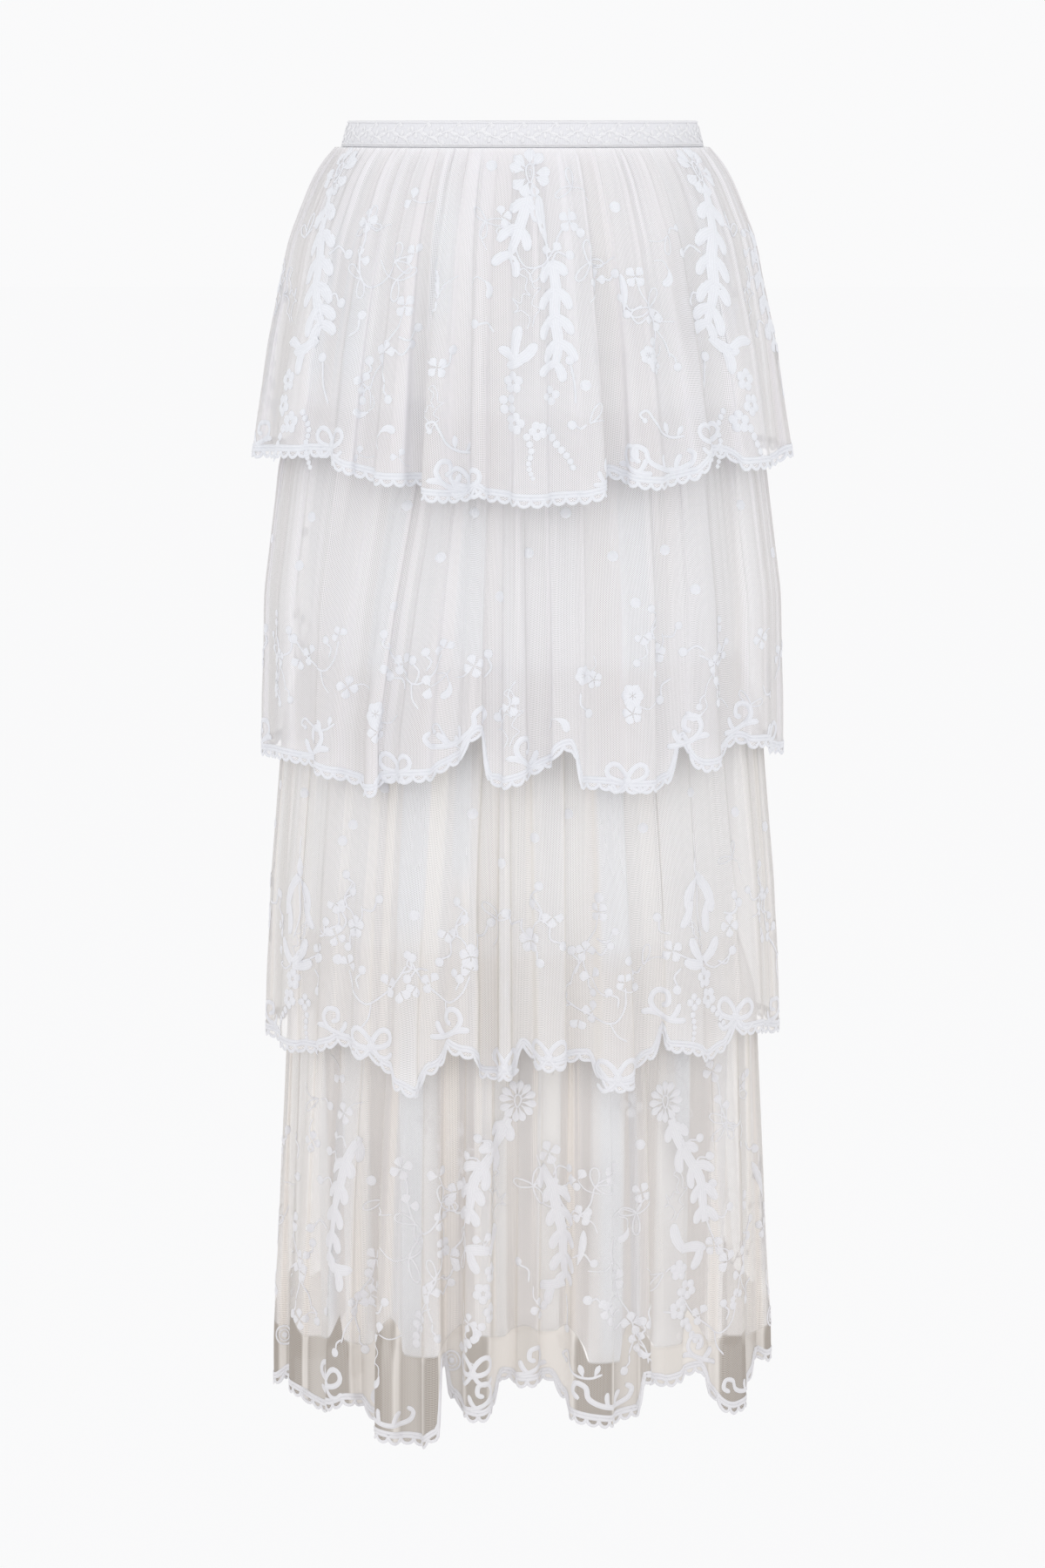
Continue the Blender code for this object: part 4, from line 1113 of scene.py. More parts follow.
def pendant():
    """The third tier's spray: slim leaves from one point, over blossoms and bead trails."""
    strips = [leaf(0, -2 - 16j, 4.5), cord([14j, 5j, 0], 1.2), lobe(-1 - 15j, 13 - 44j, 8.5, 0.12),
              leaf(-2 - 17j, -13 - 40j, 6.0, -0.1), cord([-2 - 16j, -9 - 40j, -8 - 58j], 1.2),
              cord([-1 - 18j, -3 - 42j, 2 - 60j], 1.2), lobe(10 - 36j, 8 - 58j, 7.0, -0.1),
              lobe(-9 - 34j, -18 - 52j, 6.5, 0.1)]
    strips += moved(twig(), -2 - 78j, 20, 0.75)
    strips += [lobe(2 - 78j, -10 - 60j, 7.5, 0.1), lobe(3 - 78j, 17 - 62j, 8.0, -0.1),
               lobe(2 - 80j, -17 - 76j, 7.0, 0.1)]
    strips += moved(floret(4, 8.5, 30), -26 - 68j) + moved(berry(15, -5), -36 - 44j, -50)
    strips += moved(floret(4, 8.5, 0), 30 - 56j) + moved(berry(16, 4), -24 - 96j, 75)
    strips += moved(berry(16, 6), 32 - 74j, 200) + moved(berry(16, 5), 36 - 34j, -110)
    strips += [cord([4 - 80j, 14 - 84j, 28 - 78j, 34 - 70j], 1.4),
               cord([-26 - 68j, -14 - 74j, -78j], 1.4)]
    strips += blossom(2 - 90j, 20) + blossom(6 - 105j, 50)
    strips += trail([11 - 114j, 18 - 121j, 24 - 130j], 2.8, 1.8)
    strips += blossom(-10 - 106j, 0, 4, 0.9) + trail([-12 - 115j, -11 - 125j, -13 - 137j], 2.4, 1.6)
    return strips


def berry_branch():
    """A branch of curled stalks with berries, round one bright floret."""
    strips = floret(5, 9.0, 20) + moved(berry(18, 5), -12 + 38j, -68)
    strips += moved(berry(14, -4), -5 + 26j, -110) + moved(berry(15, 6), -8 - 16j, 40)
    strips += moved(berry(18, -5), -26 - 6j, 62) + moved(berry(16, 5), 20 + 22j, -150)
    strips += [cord([-18 + 8j, -12 + 14j, -5 + 10j, 0], 1.4),
               cord([-13 + 12j, -12 + 22j, -6 + 32j], 1.4), cord([0, 6 + 8j, 5 + 16j], 1.4)]
    return strips + moved(floret(3, 8, 200, 240), -20 + 16j)


def stem_branch():
    """A bent stem that carries a floret, a leaf pair and two berries."""
    strips = [cord([-26 + 26j, -18 + 14j, -4 + 2j, 8 - 4j, 20 + 4j, 26 + 18j], 1.6)]
    strips += moved(floret(3, 9.0, 60, 270), -9 + 10j) + moved(floret(2, 9.0, 200, 150), -22 + 8j)
    strips += moved(berry(14, 4), 12 + 20j, -80) + moved(berry(13, -4), -30 + 32j, -60)
    strips += moved(floret(3, 8, 30, 240), 27 + 22j) + [cord([4 - 3j, 6 - 14j, 12 - 22j], 1.4)]
    return strips


def daisy_bough():
    """The fourth tier's spray: a daisy, a lobed bough with curled berries, and blossoms."""
    strips = daisy()
    strips += bough([5 - 13j, 10 - 28j, 20 - 44j, 30 - 60j, 32 - 78j, 34 - 92j],
                    [(.06, 13, 15), (.27, 19, 15), (.48, 17, 18), (.68, 15, 16), (.88, 13, 14)],
                    7.2)
    strips += moved(berry(15, 5), 40 - 64j, 190) + moved(berry(16, -5), 30 - 30j, 215)
    strips += moved(berry(15, -4), 38 - 44j, 210) + moved(berry(15, 5), 54 - 82j, 195)
    strips += [cord([34 - 88j, 40 - 104j, 50 - 118j], 1.5)]
    strips += moved(floret(3, 9, 60, 240), 52 - 122j)
    strips += moved(twig(), 4 - 88j, -4, 0.9)
    strips += [lobe(14 - 110j, 6 - 90j, 8.5, 0.12), lobe(12 - 110j, 34 - 112j, 8.0, 0.08),
               lobe(30 - 110j, 22 - 126j, 7.5, 0.1)]
    strips += blossom(10 - 125j, 15) + blossom(18 - 140j, 50) + blossom(9 - 154j, 80)
    strips += trail([17 - 164j, 22 - 174j, 30 - 184j], 3.0, 2.7)
    return strips


def curled_bough():
    """A bough whose lobes alternate with berries on curled stalks."""
    strips = bough([12 + 50j, 4 + 32j, 1 + 14j, -3 - 6j, -3 - 26j, -4 - 40j], [
        (.04, 0, 15), (.22, 20, 13), (.42, 20, 15), (.62, 18, 17), (.82, 19, 17), (.99, 13, 15),
    ], 7.6)
    strips += moved(berry(15, 5), -12 + 46j, -20) + moved(berry(15, 5), -20 + 32j, -18)
    strips += moved(berry(17, 6), -28 + 8j, -8) + moved(berry(19, 6), -34 - 30j, 14)
    strips += [lobe(-3 - 46j, 20 - 46j, 8.5, -0.1), lobe(6 - 47j, 12 - 64j, 7.5, 0.1)]
    return strips + moved(berry(28, 1), -4 - 84j, 90)


def trailing_stem():
    """A long thin stem that joins florets and pairs of outlined leaves."""
    strips = [cord([0, 5 - 12j, 6 - 26j, 12 - 40j, 24 - 45j, 34 - 36j, 38 - 22j, 50 - 16j], 1.5)]
    strips += floret(4, 9.0, 20) + moved(floret(2, 9.0, 0, 220), 6 - 27j)
    strips += moved(open_leaves([160, -70], 17.0, 7.0), 12 - 40j)
    strips += moved(open_leaves([-15, 100], 16.0, 7.0), 38 - 23j)
    return strips + moved(floret(3, 8.5, 70, 240), 52 - 15j)


def long_stem():
    """A stem that hangs, with a floret, two curled berries and a leaf pair at its fork."""
    strips = [cord([0, -4 - 14j, -12 - 26j, -16 - 42j, -12 - 56j], 1.5),
              cord([-16 - 40j, -24 - 50j, -28 - 62j], 1.3)]
    strips += floret(4, 9.0, 45) + moved(berry(18, 6), 14 - 16j, 200)
    strips += moved(berry(17, 6), 10 - 28j, 190)
    strips += moved(floret(4, 9.0, 10, 300), -14 - 34j) + moved(berry(12, 2), -8 - 68j, 110)
    return strips + moved(berry(12, 2), -34 - 70j, 60)


def curl():
    """A large curl of thick cord that rises from the hem, with two leaves at its side."""
    return [cord([-17 + 2j, -7 + 3j, 4 + 8j, 9 + 16j, 5 + 23j, -3 + 22j, -4 + 15j, 1 + 13j], 4.0),
            lobe(3 + 7j, 16 + 9j, 4.6, 0.1), lobe(-6 + 4j, -12 + 14j, 4.4, 0.1)]


def flourish():
    """A long low curl of cord along the hem, with leaves on its back."""
    path = [-20 + 14j, -25 + 19j, -22 + 25j, -15 + 22j, -13 + 14j, -3 + 8j, 12 + 5j, 25 + 8j,
            29 + 15j, 24 + 18j]
    return [cord(path, 3.8), lobe(2 + 7j, 1 + 17j, 4.4, 0.1), lobe(13 + 6j, 19 + 15j, 4.4, 0.1)]


def bow():
    """A bow of two loops of cord above the swag and two short tails that run down to it."""
    return [loop(2j, 148, 17.5, 11.0, 3.6), loop(2j, 35, 16.5, 10.5, 3.6), bead(2j, 3.4, 1.5),
            cord([2j, 5 - 4j, 11 - 5j, 16 - 1j], 3.2), cord([2j, -5 - 4j, -10 - 6j, -15 - 2j], 3.2)]


MOTIFS = {
    "dot": [bead(0.0, 3.9, 0.9)],
    "berry": berry(),
    "long_berry": berry(28.0, 6.0),
    "floret": floret() + [cord([2, 9 + 4j, 17 + 3j], 1.0)],
    "posy": floret(6, 9.0, 10) + moved(floret(5, 8.0, 40), 2 - 13j) + [
        cord([4 - 6j, 14 - 8j, 20 - 2j], 1.0)],
    "pair": floret(2, 9.0, 25, 260) + [cord([0, 2 - 9j, 9 - 17j], 1.0)],
    "trefoil": floret(3, 8.0, 40, 300) + [cord([0, 4 - 8j, 2 - 18j], 1.0)] + moved(
        berry(10, 3), 9 + 13j, -120),
    "open": open_leaves([68, -30, 205]) + [cord([0, 10 - 7j, 22 - 6j], 0.9)],
    "open_pair": open_leaves([60, -58], 17.0) + [cord([-20 + 2j, -9 - 3j, 0], 0.9)],
    "open_leaf": open_leaves([75]) + [cord([0, 9 + 5j, 20 + 4j], 0.9)] + moved(
        berry(11, -3), -12 - 6j, 24),
    "comma": [leaf(-7 + 3j, 5 - 1j, 5.0, -0.25, 0.3), cord([4 - 1j, 10 + 3j, 9 + 10j], 1.0)],
    "slim": [leaf(18j, -14j, 6.0, 0.05, 0.4, 1.5)],
    "twig": twig(),
    "scroll": [cord([-15 + 5j, -19 + 10j, -14 + 13j, -9 + 8j, 0, 12 - 3j, 22 - 1j], 2.0),
               bead(-15.5 + 6j, 2.0), leaf(8 - 2j, 5 + 7j, 4.0), leaf(16 - 2j, 20 + 6j, 3.6)],
    "ring": [strip(7.0 * heading(np.linspace(0, 360, 20)), 1.6, 0.9), bead(0.0, 2.2),
             strip(4.2 * heading(np.linspace(0, 360, 14)), 1.0, 0.6)],
    "garland": garland(),
    "long_garland": long_garland(),
    "pendant": pendant(),
    "berry_branch": berry_branch(),
    "stem_branch": stem_branch(),
    "daisy_bough": daisy_bough(),
    "curled_bough": curled_bough(),
    "trailing_stem": trailing_stem(),
    "long_stem": long_stem(),
    "curl": curl(),
    "flourish": flourish(),
    "bow": bow(),
}

# Where each motif is worked on the front of each tier; the back repeats it, begun further along.
# A place gives the fold, the height, the turn in degrees, the size, whether the motif is
# flipped and whether it lies behind the net. A height below 0 is measured from the waist and
# any other from the hem's cord.
WORKED = {
    "tier1": {
        "long_garland": [(1.38, -0.027, 11, 1.06, True), (10.52, -0.026, -11, 1.06)],
        "garland": [(6.53, -0.027)],
        "open": [(2.40, -0.062, 15, 0.8), (5.55, -0.060, -70, 0.85), (7.62, -0.088, 25),
            (8.75, -0.120, -10)],
        "berry": [(2.55, -0.125, 240), (4.80, -0.148, 230), (5.40, -0.130, -20),
            (7.50, -0.067, 110), (8.72, -0.143, 250), (0.40, -0.110, 60), (11.5, -0.090, 160)],
        "trefoil": [(2.84, -0.172, 20), (7.90, -0.100, -40)],
        "comma": [(2.90, -0.192, 10), (3.45, -0.205, 200), (5.62, -0.105, 120),
            (9.15, -0.098, 80)],
        "open_pair": [(3.40, -0.100, -35), (7.45, -0.036, 150, 0.85),
            (6.90, -0.205, 20, 1.0, False, True)],
        "pair": [(3.45, -0.045, 60, 0.9), (2.92, -0.222, 60, 0.7), (3.6, -0.222, 30, 0.7)],
        "slim": [(4.30, -0.100, 20, 0.8), (8.40, -0.110, 0, 0.8)],
        "open_leaf": [(4.45, -0.112, 35), (7.45, -0.198, -20), (9.45, -0.070, 180, 0.85)],
        "floret": [(4.55, -0.160, 130), (2.45, -0.150, 80, 1.0, False, True),
            (5.75, -0.170, 0, 1.1, False, True)],
        "twig": [(4.45, -0.205, 0, 0.8), (0.45, -0.130, 10)],
        "scroll": [(4.75, -0.213, -12), (8.75, -0.205, -8)],
        "dot": [(5.60, -0.022), (7.42, -0.172), (8.45, -0.050)],
        "posy": [(8.60, -0.152, 30, 0.75), (3.90, -0.190, 0, 0.9, False, True),
            (9.40, -0.190, 60, 0.9, False, True)],
        "curled_bough": [(11.45, -0.110, 8, 0.9), (0.55, -0.150, 8, 0.9, False, True)],
        "trailing_stem": [(2.30, -0.060, -10, 0.95), (7.30, -0.060, -20, 0.9, True),
            (7.70, -0.150, 60, 0.9, False, True), (9.60, -0.120, 10, 0.9, False, True)],
        "long_stem": [(3.55, -0.118, 0, 0.95), (8.55, -0.098, 0, 0.9, True)],
        "bow": [(2.12, 0.0), (5.15, 0.001), (9.80, 0.0)],
        "curl": [(4.75, 0.0, 0, 0.95, True), (7.70, 0.0, 0, 0.8), (8.35, 0.0, 0, 0.9, True),
            (0.70, 0.0, 0, 0.8)],
        "flourish": [(8.75, 0.0, 4, 1.0)],
        "berry_branch": [(2.20, -0.185, 30, 0.9, False, True)],
    },
    "tier2": {
        "dot": [(1.94, -0.270), (1.80, -0.305), (3.55, -0.258), (4.57, -0.293), (3.68, -0.328),
            (6.15, -0.320), (6.90, -0.290), (8.10, -0.293), (9.00, -0.290), (9.42, -0.318),
            (8.45, -0.325), (0.60, -0.290), (5.40, -0.262), (7.50, -0.262), (10.40, -0.262),
            (11.30, -0.300)],
        "berry": [(1.35, -0.355, -60), (1.75, -0.357, 230), (3.92, -0.378, -30),
            (4.40, -0.365, -75), (5.95, -0.360, -100), (7.85, -0.402, 120), (9.15, -0.362, 0),
            (9.68, -0.352, -110), (10.70, -0.400, 150), (0.65, -0.355, -100), (8.95, -0.395, 60)],
        "trefoil": [(1.40, -0.390, 30), (6.45, -0.395, 160), (9.70, -0.398, 60),
            (11.30, -0.375, -30)],
        "long_berry": [(1.50, -0.405, 100, 0.8), (9.85, -0.362, 185)],
        "floret": [(2.80, -0.388, -10, 1.05), (5.50, -0.368, 200, 1.05), (10.50, -0.358, 10),
            (0.45, -0.378, 40), (3.20, -0.345, 0, 1.0, False, True)],
        "posy": [(3.55, -0.404, 5), (7.70, -0.375, 60, 0.8), (8.40, -0.390, -10, 0.95),
            (6.20, -0.372, 30, 0.9, False, True), (10.90, -0.385, 0, 0.9, False, True)],
        "pair": [(4.62, -0.383, 100)],
        "comma": [(4.95, -0.385, 80), (7.45, -0.408, 150), (9.40, -0.406, 10)],
        "twig": [(6.35, -0.425, 0)],
        "scroll": [(2.35, -0.420, 20, 0.9), (5.00, -0.422, -10, 0.8)],
        "open_pair": [(10.35, -0.405, 70, 0.8)],
        "curl": [(2.25, 0.0, 0, 1.05), (6.70, 0.0, 0, 1.0, True), (9.32, 0.0, 0, 1.0),
            (10.10, 0.0, 0, 0.95), (0.60, 0.0, 0, 0.85)],
        "bow": [(4.15, 0.0), (8.33, 0.0), (10.9, 0.0)],
        "flourish": [(5.30, 0.0, 14, 1.0, True)],
        "stem_branch": [(2.20, -0.375, 10, 0.9), (4.35, -0.378, 0, 0.95)],
        "long_stem": [(9.80, -0.345, 0, 0.8), (1.30, -0.345, 0, 0.8, True)],
        "berry_branch": [(8.90, -0.362, 0, 0.85)],
    },
    "tier3": {
        "dot": [(3.00, -0.488), (2.80, -0.500), (0.40, -0.500), (5.54, -0.475), (7.90, -0.476),
            (7.30, -0.492), (9.05, -0.488), (10.45, -0.483), (4.55, -0.548), (8.30, -0.535),
            (0.60, -0.470), (11.3, -0.500), (1.60, -0.470), (3.90, -0.460), (6.40, -0.510),
            (9.70, -0.465), (2.85, -0.585)],
        "pendant": [(1.60, -0.515, 0, 1.0, True), (9.72, -0.508)],
        "floret": [(2.72, -0.568, 160), (8.85, -0.600, 170), (10.75, -0.552, 200)],
        "berry": [(2.90, -0.548, -90), (4.50, -0.593, 20), (7.95, -0.573, -80),
            (8.60, -0.580, -40), (10.4, -0.548, 200)],
        "stem_branch": [(3.92, -0.610, 0, 1.0, True), (8.35, -0.622, 20, 0.9),
            (11.40, -0.590, -20), (5.10, -0.605, 0, 0.9)],
        "berry_branch": [(5.55, -0.575), (7.15, -0.565, 6, 1.0, True), (0.45, -0.570),
            (3.30, -0.560, 0, 0.95), (10.80, -0.560, 0, 0.9, True)],
        "open_pair": [(6.20, -0.550, 80), (10.30, -0.515, 130, 0.8)],
        "pair": [(8.15, -0.592, 20)],
        "open_leaf": [(9.02, -0.585, 0, 0.9)],
        "bow": [(3.80, 0.0, 0, 1.1), (6.50, 0.001), (7.45, 0.001), (8.47, 0.001, 0, 1.1),
            (10.13, 0.001, -8, 1.1)],
        "curl": [(5.32, 0.0, 0, 1.0), (9.22, 0.0, 0, 1.05, True), (2.70, 0.0, 0, 0.9, True),
            (11.3, 0.0, 0, 0.8), (0.7, 0.0, 0, 0.8, True)],
        "long_stem": [(8.30, -0.545, 0, 0.85)],
        "trailing_stem": [(2.90, -0.540, 0, 0.8, False, True), (7.40, -0.560, 0, 0.9, True, True)],
        "posy": [(6.70, -0.600, 0, 0.9, False, True)],
    },
    "tier4": {
        "daisy_bough": [(9.42, -0.690), (6.22, -0.684, -8, 1.0, True)],
        "curled_bough": [(2.45, -0.765, -6), (7.05, -0.775, 4, 0.9, True),
            (11.60, -0.790, 0, 0.9, False, True)],
        "floret": [(2.48, -0.700, 20, 1.05), (1.76, -0.727, 80), (4.15, -0.845, 30, 1.05),
            (7.42, -0.765, -60), (8.45, -0.753, 240), (4.30, -0.700, 0, 1.1, False, True),
            (1.60, -0.860, 10), (6.75, -0.835, 100, 1.05), (10.25, -0.800, -40)],
        "pair": [(2.35, -0.674, 190, 0.9), (3.45, -0.856, 60, 1.0), (4.60, -0.738, 20, 1.0),
            (5.55, -0.783, 10, 0.9), (7.35, -0.740, 30), (10.55, -0.825, 10), (5.25, -0.862, 30)],
        "open_leaf": [(1.90, -0.695, 140), (1.10, -0.762, 180), (9.20, -0.815, 150)],
        "berry": [(1.20, -0.727, -70), (3.30, -0.822, 240), (3.52, -0.832, 215),
            (4.05, -0.862, 60), (11.2, -0.740, 150), (11.5, -0.850, 100), (1.25, -0.845, 70),
            (0.55, -0.850, 90), (8.6, -0.850, 70), (2.10, -0.850, 60), (6.30, -0.800, -60),
            (9.70, -0.838, 200), (10.95, -0.850, 60)],
        "dot": [(2.95, -0.748), (5.60, -0.715), (8.45, -0.718)],
        "open": [(3.08, -0.762, 0), (5.30, -0.790, 40), (8.20, -0.768, 200),
            (10.45, -0.713, 20, 0.9), (0.45, -0.800, 60), (6.55, -0.745, 100)],
        "trefoil": [(2.95, -0.832, 40, 1.0), (4.70, -0.770, 0), (5.40, -0.842, -150, 0.9),
            (7.62, -0.833, 100, 1.05), (11.4, -0.800, 10), (1.60, -0.815, 0), (0.50, -0.740, 0),
            (9.90, -0.865, 30, 1.0, False, True), (8.20, -0.862, 20)],
        "comma": [(3.30, -0.877, 30), (3.42, -0.890, 60), (5.45, -0.848, 120), (7.95, -0.782, 60),
            (10.75, -0.728, 20), (8.5, -0.870, 0)],
        "open_pair": [(4.55, -0.812, 170), (7.70, -0.800, 20), (3.95, -0.800, -10, 1.25)],
        "slim": [(7.40, -0.790, -10, 0.8), (11.3, -0.765, 20, 0.9)],
        "ring": [(0.80, 0.026, 0, 1.0), (11.5, 0.026, 0, 1.0), (5.00, 0.022, 0, 1.0)],
        "bow": [(2.35, 0.010, 0, 1.15), (5.45, 0.026, 0, 1.05)],
        "scroll": [(7.35, 0.028, 0)],
        "stem_branch": [(10.2, -0.860, 0, 0.9)],
        "trailing_stem": [(3.75, -0.735, 0, 1.0), (6.95, -0.722, 0, 1.0), (10.35, -0.672, 0, 0.95),
            (8.10, -0.690, 60, 1.0, False, True)],
        "long_stem": [(3.00, -0.805, 0, 1.0), (1.35, -0.790, 0, 1.0, True),
            (7.85, -0.815, 0, 1.0, True), (4.75, -0.790, 0, 0.95), (10.90, -0.775, 0, 1.0)],
        "flourish": [(3.45, 0.0, 0, 1.0), (7.60, 0.001, 0, 1.05), (10.60, 0.001, 10, 0.9)],
        "curl": [(5.55, 0.0, 0, 0.9), (6.60, 0.0, 0, 0.9), (10.05, 0.0, 0, 0.9, True)],
        "posy": [(2.20, -0.800, 0, 1.0, False, True), (7.15, -0.860, 30, 1.0, False, True),
            (2.75, -0.875, 0, 0.9, False, True)],
        "berry_branch": [(5.20, -0.730, 0, 0.9, False, True)],
    },
}


def corded_hem(line, tops, run):
    """The hem's strips in metres: two cords along each swag and scallops below them."""
    strips = []
    for start, end in zip(tops[:-1], tops[1:]):
        span = np.arange(start, end + 0.002, 0.002)
        height = np.interp(span, run[:-1], line)
        path = (span + 1j * height) / MM
        strips += [strip(path + 1j * side * HEM_CORD / 2 / MM, 2.5, 1.0) for side in (1, -1)]
        count = max(2, round((end - start) / PICOT_WIDTH))
        turn = np.linspace(0.0, np.pi, 10)
        for number in range(count):
            share = 0.9 * (1 - np.cos(turn)) / 2 + 0.1 * turn / np.pi
            across = start + (end - start) * (number + share) / count
            down = np.interp(across, run[:-1], line) - PICOT_DROP * np.sin(turn) ** 0.7
            strips.append(strip((across + 1j * down) / MM, 2.4, 0.9))
    return strips


def thread_piece(name, cloth, strips, columns, heights, lift):
    """One mesh of all the strips, laid on the cloth at the given columns and heights, with sharp
    edges along their rims and round their ends."""
    rises = np.concatenate([piece.rise.ravel() for piece in strips]) * MM
    points = on_cloth(cloth, columns, heights, lift + rises + THREAD_CLEAR)
    ring = len(THREAD_ACROSS)
    quads, first = [], 0
    for piece in strips:
        count = len(piece.shape)
        start = first + ring * np.arange(count - 1)[:, None] + np.arange(ring)
        after = first + ring * np.arange(count - 1)[:, None] + (np.arange(ring) + 1) % ring
        quads.append(np.stack([start, start + ring, after + ring, after], axis=-1).reshape(-1, 4))
        last = first + ring * (count - 1)
        quads.append(np.array([first + np.arange(ring), last + np.arange(ring)[::-1]]))
        first += ring * count
    quads = np.concatenate(quads)
    mesh = bpy.data.meshes.new(name)
    mesh.vertices.add(len(points))
    mesh.vertices.foreach_set("co", points.astype(np.float32).ravel())
    mesh.loops.add(quads.size)
    mesh.loops.foreach_set("vertex_index", quads.astype(np.int32).ravel())
    mesh.polygons.add(len(quads))
    mesh.polygons.foreach_set("loop_start", np.arange(0, quads.size, 4, dtype=np.int32))
    mesh.update(calc_edges=True)
    flat = np.column_stack([np.concatenate([getattr(piece, side).ravel() for piece in strips])
                            for side in ("along", "across")]) * MM
    uv_map = mesh.uv_layers.new(name="thread")
    uv_map.data.foreach_set("uv", flat[quads.ravel()].astype(np.float32).ravel())
    coil = np.concatenate([piece.coil.ravel() for piece in strips])
    mesh.attributes.new("coil", "FLOAT", "POINT").data.foreach_set("value", coil.astype(np.float32))
    mesh.validate()
    mesh.shade_smooth()
    ends = np.empty(2 * len(mesh.edges), np.int32)
    mesh.edges.foreach_get("vertices", ends)
    ends = ends.reshape(-1, 2)
    tip = np.zeros(len(points), bool)
    counts = np.cumsum([0] + [ring * len(piece.shape) for piece in strips])
    for place in range(ring):
        tip[counts[:-1] + place] = tip[counts[1:] - 1 - place] = True
    rims = (ends[:, 0] % ring == ends[:, 1] % ring) & (ends[:, 0] % ring % (ring - 1) == 0)
    rims |= tip[ends].all(axis=1) & (np.abs(ends[:, 0] - ends[:, 1]) < ring)
    mesh.attributes.new("sharp_edge", "BOOLEAN", "EDGE").data.foreach_set("value", rims)
    piece = bpy.data.objects.new(name, mesh)
    bpy.context.scene.collection.objects.link(piece)
    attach(piece, "root")
    return piece


def local_columns(cloth, fold, height, shape):
    """The columns and heights of shapes in millimetres round a place on the cloth."""
    number = cloth.points.shape[1]
    middle = np.interp(fold, np.append(cloth.fold, 2 * HALF_FOLDS), np.arange(number + 1))
    heights = height + shape.imag * MM
    row = (cloth.heights[0] - heights) / ROW_STEP
    start = between(cloth.length[:, :-1, None], row, np.full(row.shape, middle))[..., 0]
    girth = np.interp(heights, cloth.heights[::-1], cloth.length[::-1, -1])
    share = (start + shape.real * MM) / girth % 1.0
    return between(cloth.column_at[..., None], row, share * LOOKUP_STEPS)[..., 0] % number, heights


# Thread that shows how it is worked: twisted along a cord, wound round in a bead.
thread_group = bpy.data.node_groups.new("worked_thread", "ShaderNodeTree")
thread_group.interface.new_socket("Place", in_out="INPUT", socket_type="NodeSocketVector")
thread_group.interface.new_socket("Coil", in_out="INPUT", socket_type="NodeSocketFloat")
thread_group.interface.new_socket("Height", in_out="OUTPUT", socket_type="NodeSocketFloat")
group_in = thread_group.nodes.new("NodeGroupInput")
group_out = thread_group.nodes.new("NodeGroupOutput")
split = add_node(
    thread_group, "ShaderNodeSeparateXYZ", inputs={"Vector": group_in.outputs["Place"]})
slant = arithmetic(thread_group, "MULTIPLY_ADD", split.outputs["Y"], 0.8, split.outputs["X"])
slant = arithmetic(thread_group, "MULTIPLY", slant, 2 * np.pi / TWIST)
twisted = arithmetic(thread_group, "SINE", slant)
across = arithmetic(thread_group, "MULTIPLY", split.outputs["Y"], 2 * np.pi / STRAND_ROW)
rows_across = arithmetic(thread_group, "COSINE", across)
worked = arithmetic(thread_group, "MULTIPLY_ADD", rows_across, 1.3, twisted)
reach = add_node(thread_group, "ShaderNodeVectorMath", "LENGTH", {0: group_in.outputs["Place"]})
wound = arithmetic(thread_group, "MULTIPLY", reach.outputs["Value"], 2 * np.pi / COIL)
wound = arithmetic(thread_group, "MULTIPLY", arithmetic(thread_group, "SINE", wound), 1.8)
either = add_node(thread_group, "ShaderNodeMix", inputs={
    "Factor": group_in.outputs["Coil"], "A": worked, "B": wound})
thread_group.links.new(either.outputs["Result"], group_out.inputs["Height"])


def thread_material(name, tint):
    """Satin thread of one tint, with painted shade that makes it a little darker where its strands
    meet.
    """
    material = bpy.data.materials.new(name)
    tree, shader = shader_nodes(material)
    place = add_node(tree, "ShaderNodeUVMap", uv_map="thread")
    stitches = add_node(tree, "ShaderNodeGroup", node_tree=thread_group, inputs={
        "Place": place.outputs[0], "Coil": attribute(tree, "coil")}).outputs[0]
    relief(tree, shader, stitches, 0.4)
    shaded = [THREAD_SHADE * part for part in tint]
    tone = blend(tree, spread(tree, stitches, -2.0, 2.0), shaded, tint)
    tree.links.new(tone, shader.inputs["Base Color"])
    shader.inputs["Roughness"].default_value = 0.6
    shader.inputs["Sheen Weight"].default_value = 0.2
    return material


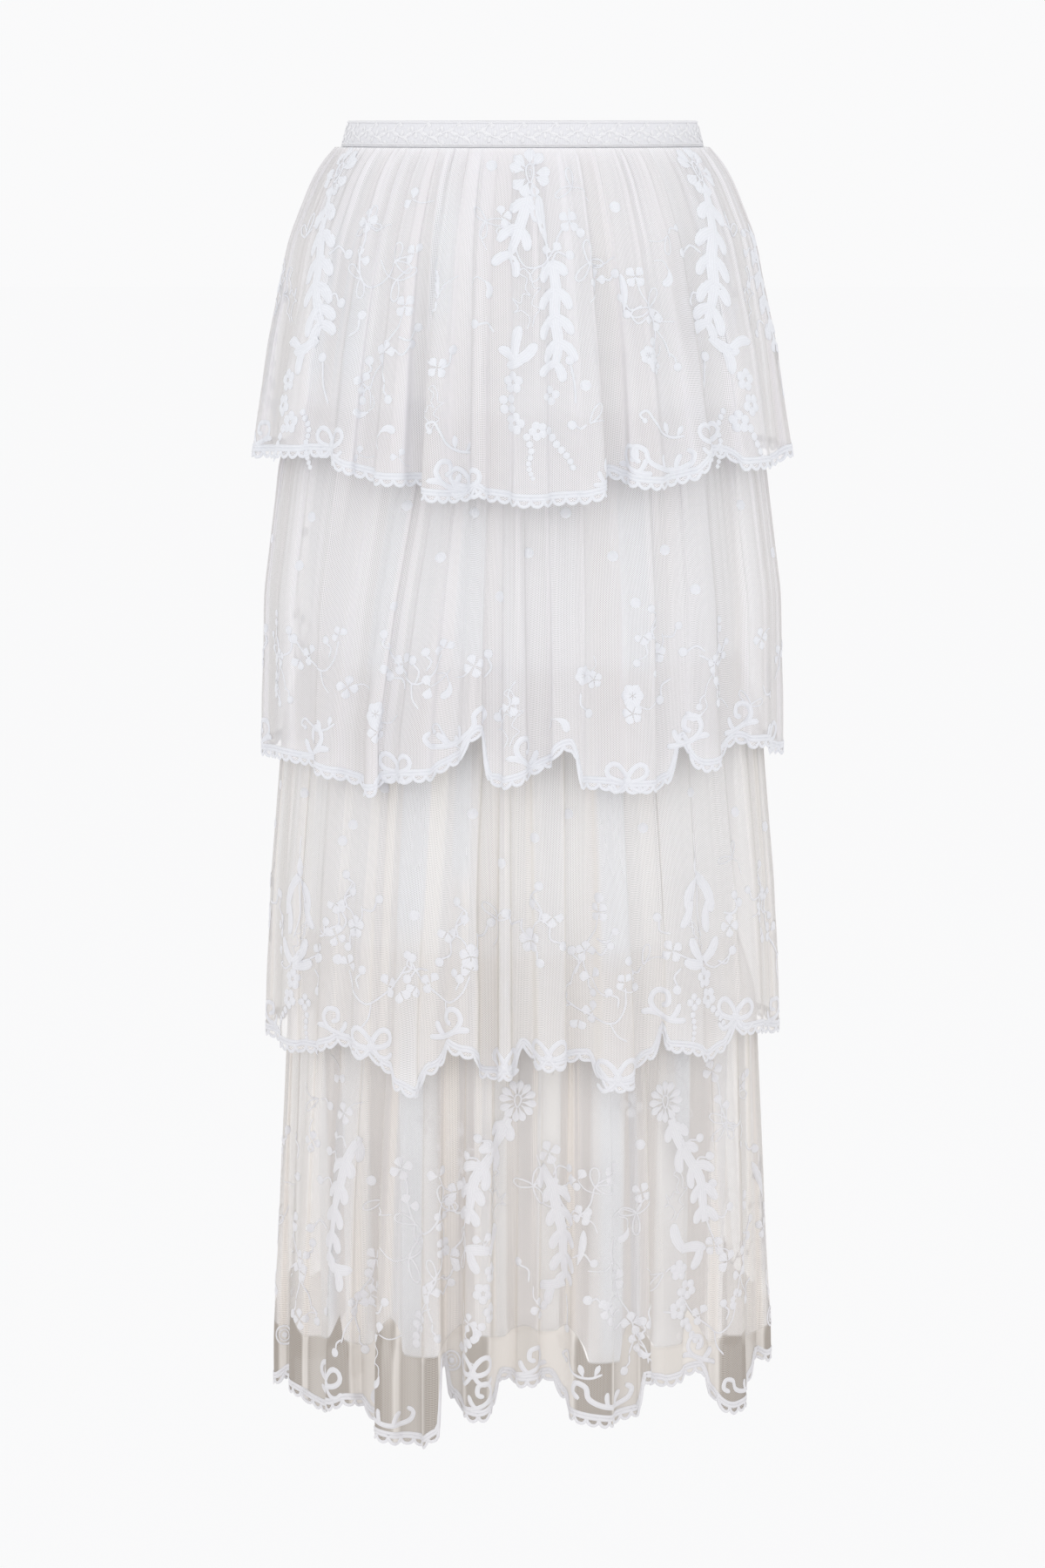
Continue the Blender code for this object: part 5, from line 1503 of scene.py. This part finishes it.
THREAD_TINTS = {
    "tier1": (0.845, 0.86, 0.905), "tier2": (0.84, 0.85, 0.895), "tier3": (0.82, 0.82, 0.855),
    "tier4": (0.80, 0.79, 0.815), "vine": (0.88, 0.88, 0.905),
}
BARE_SIDE = 2.0                 # folds of the back beside each side that stay plain
REPLACED_SPRAYS = {"tier1": range(1, 7), "tier2": (), "tier3": (), "tier4": range(7, 13)}
for name, tier in TIERS.items():
    cloth, (line, tops, run) = cloths[name], hems[name]
    number = cloth.points.shape[1]
    strips, columns, heights = corded_hem(line, tops, run), [], []
    for piece in strips:
        along_hem = piece.shape.real.ravel() * MM
        columns.append(np.interp(along_hem, run, np.arange(number + 1)) % number)
        heights.append(piece.shape.imag.ravel() * MM)
    depths = [np.zeros(sum(piece.shape.size for piece in strips))]
    front = [Motif(kind, *place) for kind, places in WORKED[name].items() for place in places]
    back_folds = turned_to_back([motif.fold for motif in front], tier.back_start)
    back = [motif._replace(fold=fold + HALF_FOLDS) for motif, fold in zip(front, back_folds)
            if BARE_SIDE < fold < HALF_FOLDS - BARE_SIDE]
    for motif in front + back:
        pieces = moved(MOTIFS[motif.kind], 0.0, motif.turn, motif.size, motif.flip)
        measured_from = np.interp(motif.fold, cloth.fold, line) if motif.height >= 0 else 0.0
        shape = np.concatenate([piece.shape.ravel() for piece in pieces])
        shape_columns, shape_heights = local_columns(
            cloth, motif.fold, motif.height + measured_from, shape)
        strips += pieces
        columns.append(shape_columns)
        heights.append(shape_heights)
        depths.append(np.full(shape.size, THREAD_BEHIND * motif.behind))
    columns, heights = np.concatenate(columns), np.concatenate(heights)
    round_share = np.interp(columns, np.arange(number + 1), run) / run[-1]
    lift = gathers(tier, round_share, heights) - np.concatenate(depths)
    piece = thread_piece(f"{name}_embroidery", cloth, strips, columns, heights, lift)
    piece.data.materials.append(thread_material(f"{name}_thread", THREAD_TINTS[name]))
    if REPLACED_SPRAYS[name]:
        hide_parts(*(f"spray_{spray}" for spray in REPLACED_SPRAYS[name]))


# ---------------------------------------------------------------- waistband vine
# The ribbon's edge cords and its vine: a waving stem with a curled tendril and small leaves on
# either side of it, over and over, all in fine thread on the ribbon's face.
VINE_REPEATS = 30
VINE_REACH = 2.6                # how far the stem waves up and down, in millimetres
EDGE_CORDS = (8.3, -7.2, -8.5)  # their heights


def vine(length):
    """One repeat of the vine, from the middle of the ribbon to the middle again."""
    across = np.linspace(0.0, length, 13)
    strips = [strip(across + 1j * VINE_REACH * np.sin(2 * np.pi * across / length), 1.3, 0.6)]
    for start, way in ((0.16, -1), (0.66, 1)):
        root = length * start - 1j * way * VINE_REACH * 0.6
        tendril = [root + 5.0 - 1.0j * way, root + 6.4 - 4.6j * way,
                   root + 9.4 - 6.0j * way, root + 11.6 - 3.8j * way]
        strips += [leaf(root, root + 5.4 - 3.4j * way, 2.8, 0.1 * way, rise=0.7),
                   leaf(root, root + 0.6 + 4.6j * way, 2.6, rise=0.7),
                   leaf(root + 3.2, root + 9.4 + 1.2j * way, 2.6, 0.15 * way, rise=0.7),
                   leaf(root - 2.4, root - 4.4 - 4.4j * way, 2.4, rise=0.7),
                   bead(root + 5.2 + 4.8j * way, 1.5, 0.7), bead(root + 9.4 - 4.2j * way, 1.5, 0.7),
                   cord(tendril, 1.1)]
    return strips


ribbon_girth = ribbon_run[-1] / MM
strips = []
for repeat in range(VINE_REPEATS):
    strips += moved(vine(ribbon_girth / VINE_REPEATS), repeat * ribbon_girth / VINE_REPEATS)
for edge in EDGE_CORDS:
    strips.append(strip(np.linspace(0.0, ribbon_girth, 2 * RIBBON_COLUMNS) + 1j * edge, 1.2, 0.8))
shapes = np.concatenate([piece.shape.ravel() for piece in strips])
vine_columns = np.interp(
    shapes.real % ribbon_girth, ribbon_run / MM, np.arange(2 * RIBBON_COLUMNS + 1))
vine_piece = thread_piece("waist_vine", ribbon, strips, vine_columns % (2 * RIBBON_COLUMNS),
                          shapes.imag * MM, 0.0)
vine_piece.data.materials.append(thread_material("vine_thread", THREAD_TINTS["vine"]))
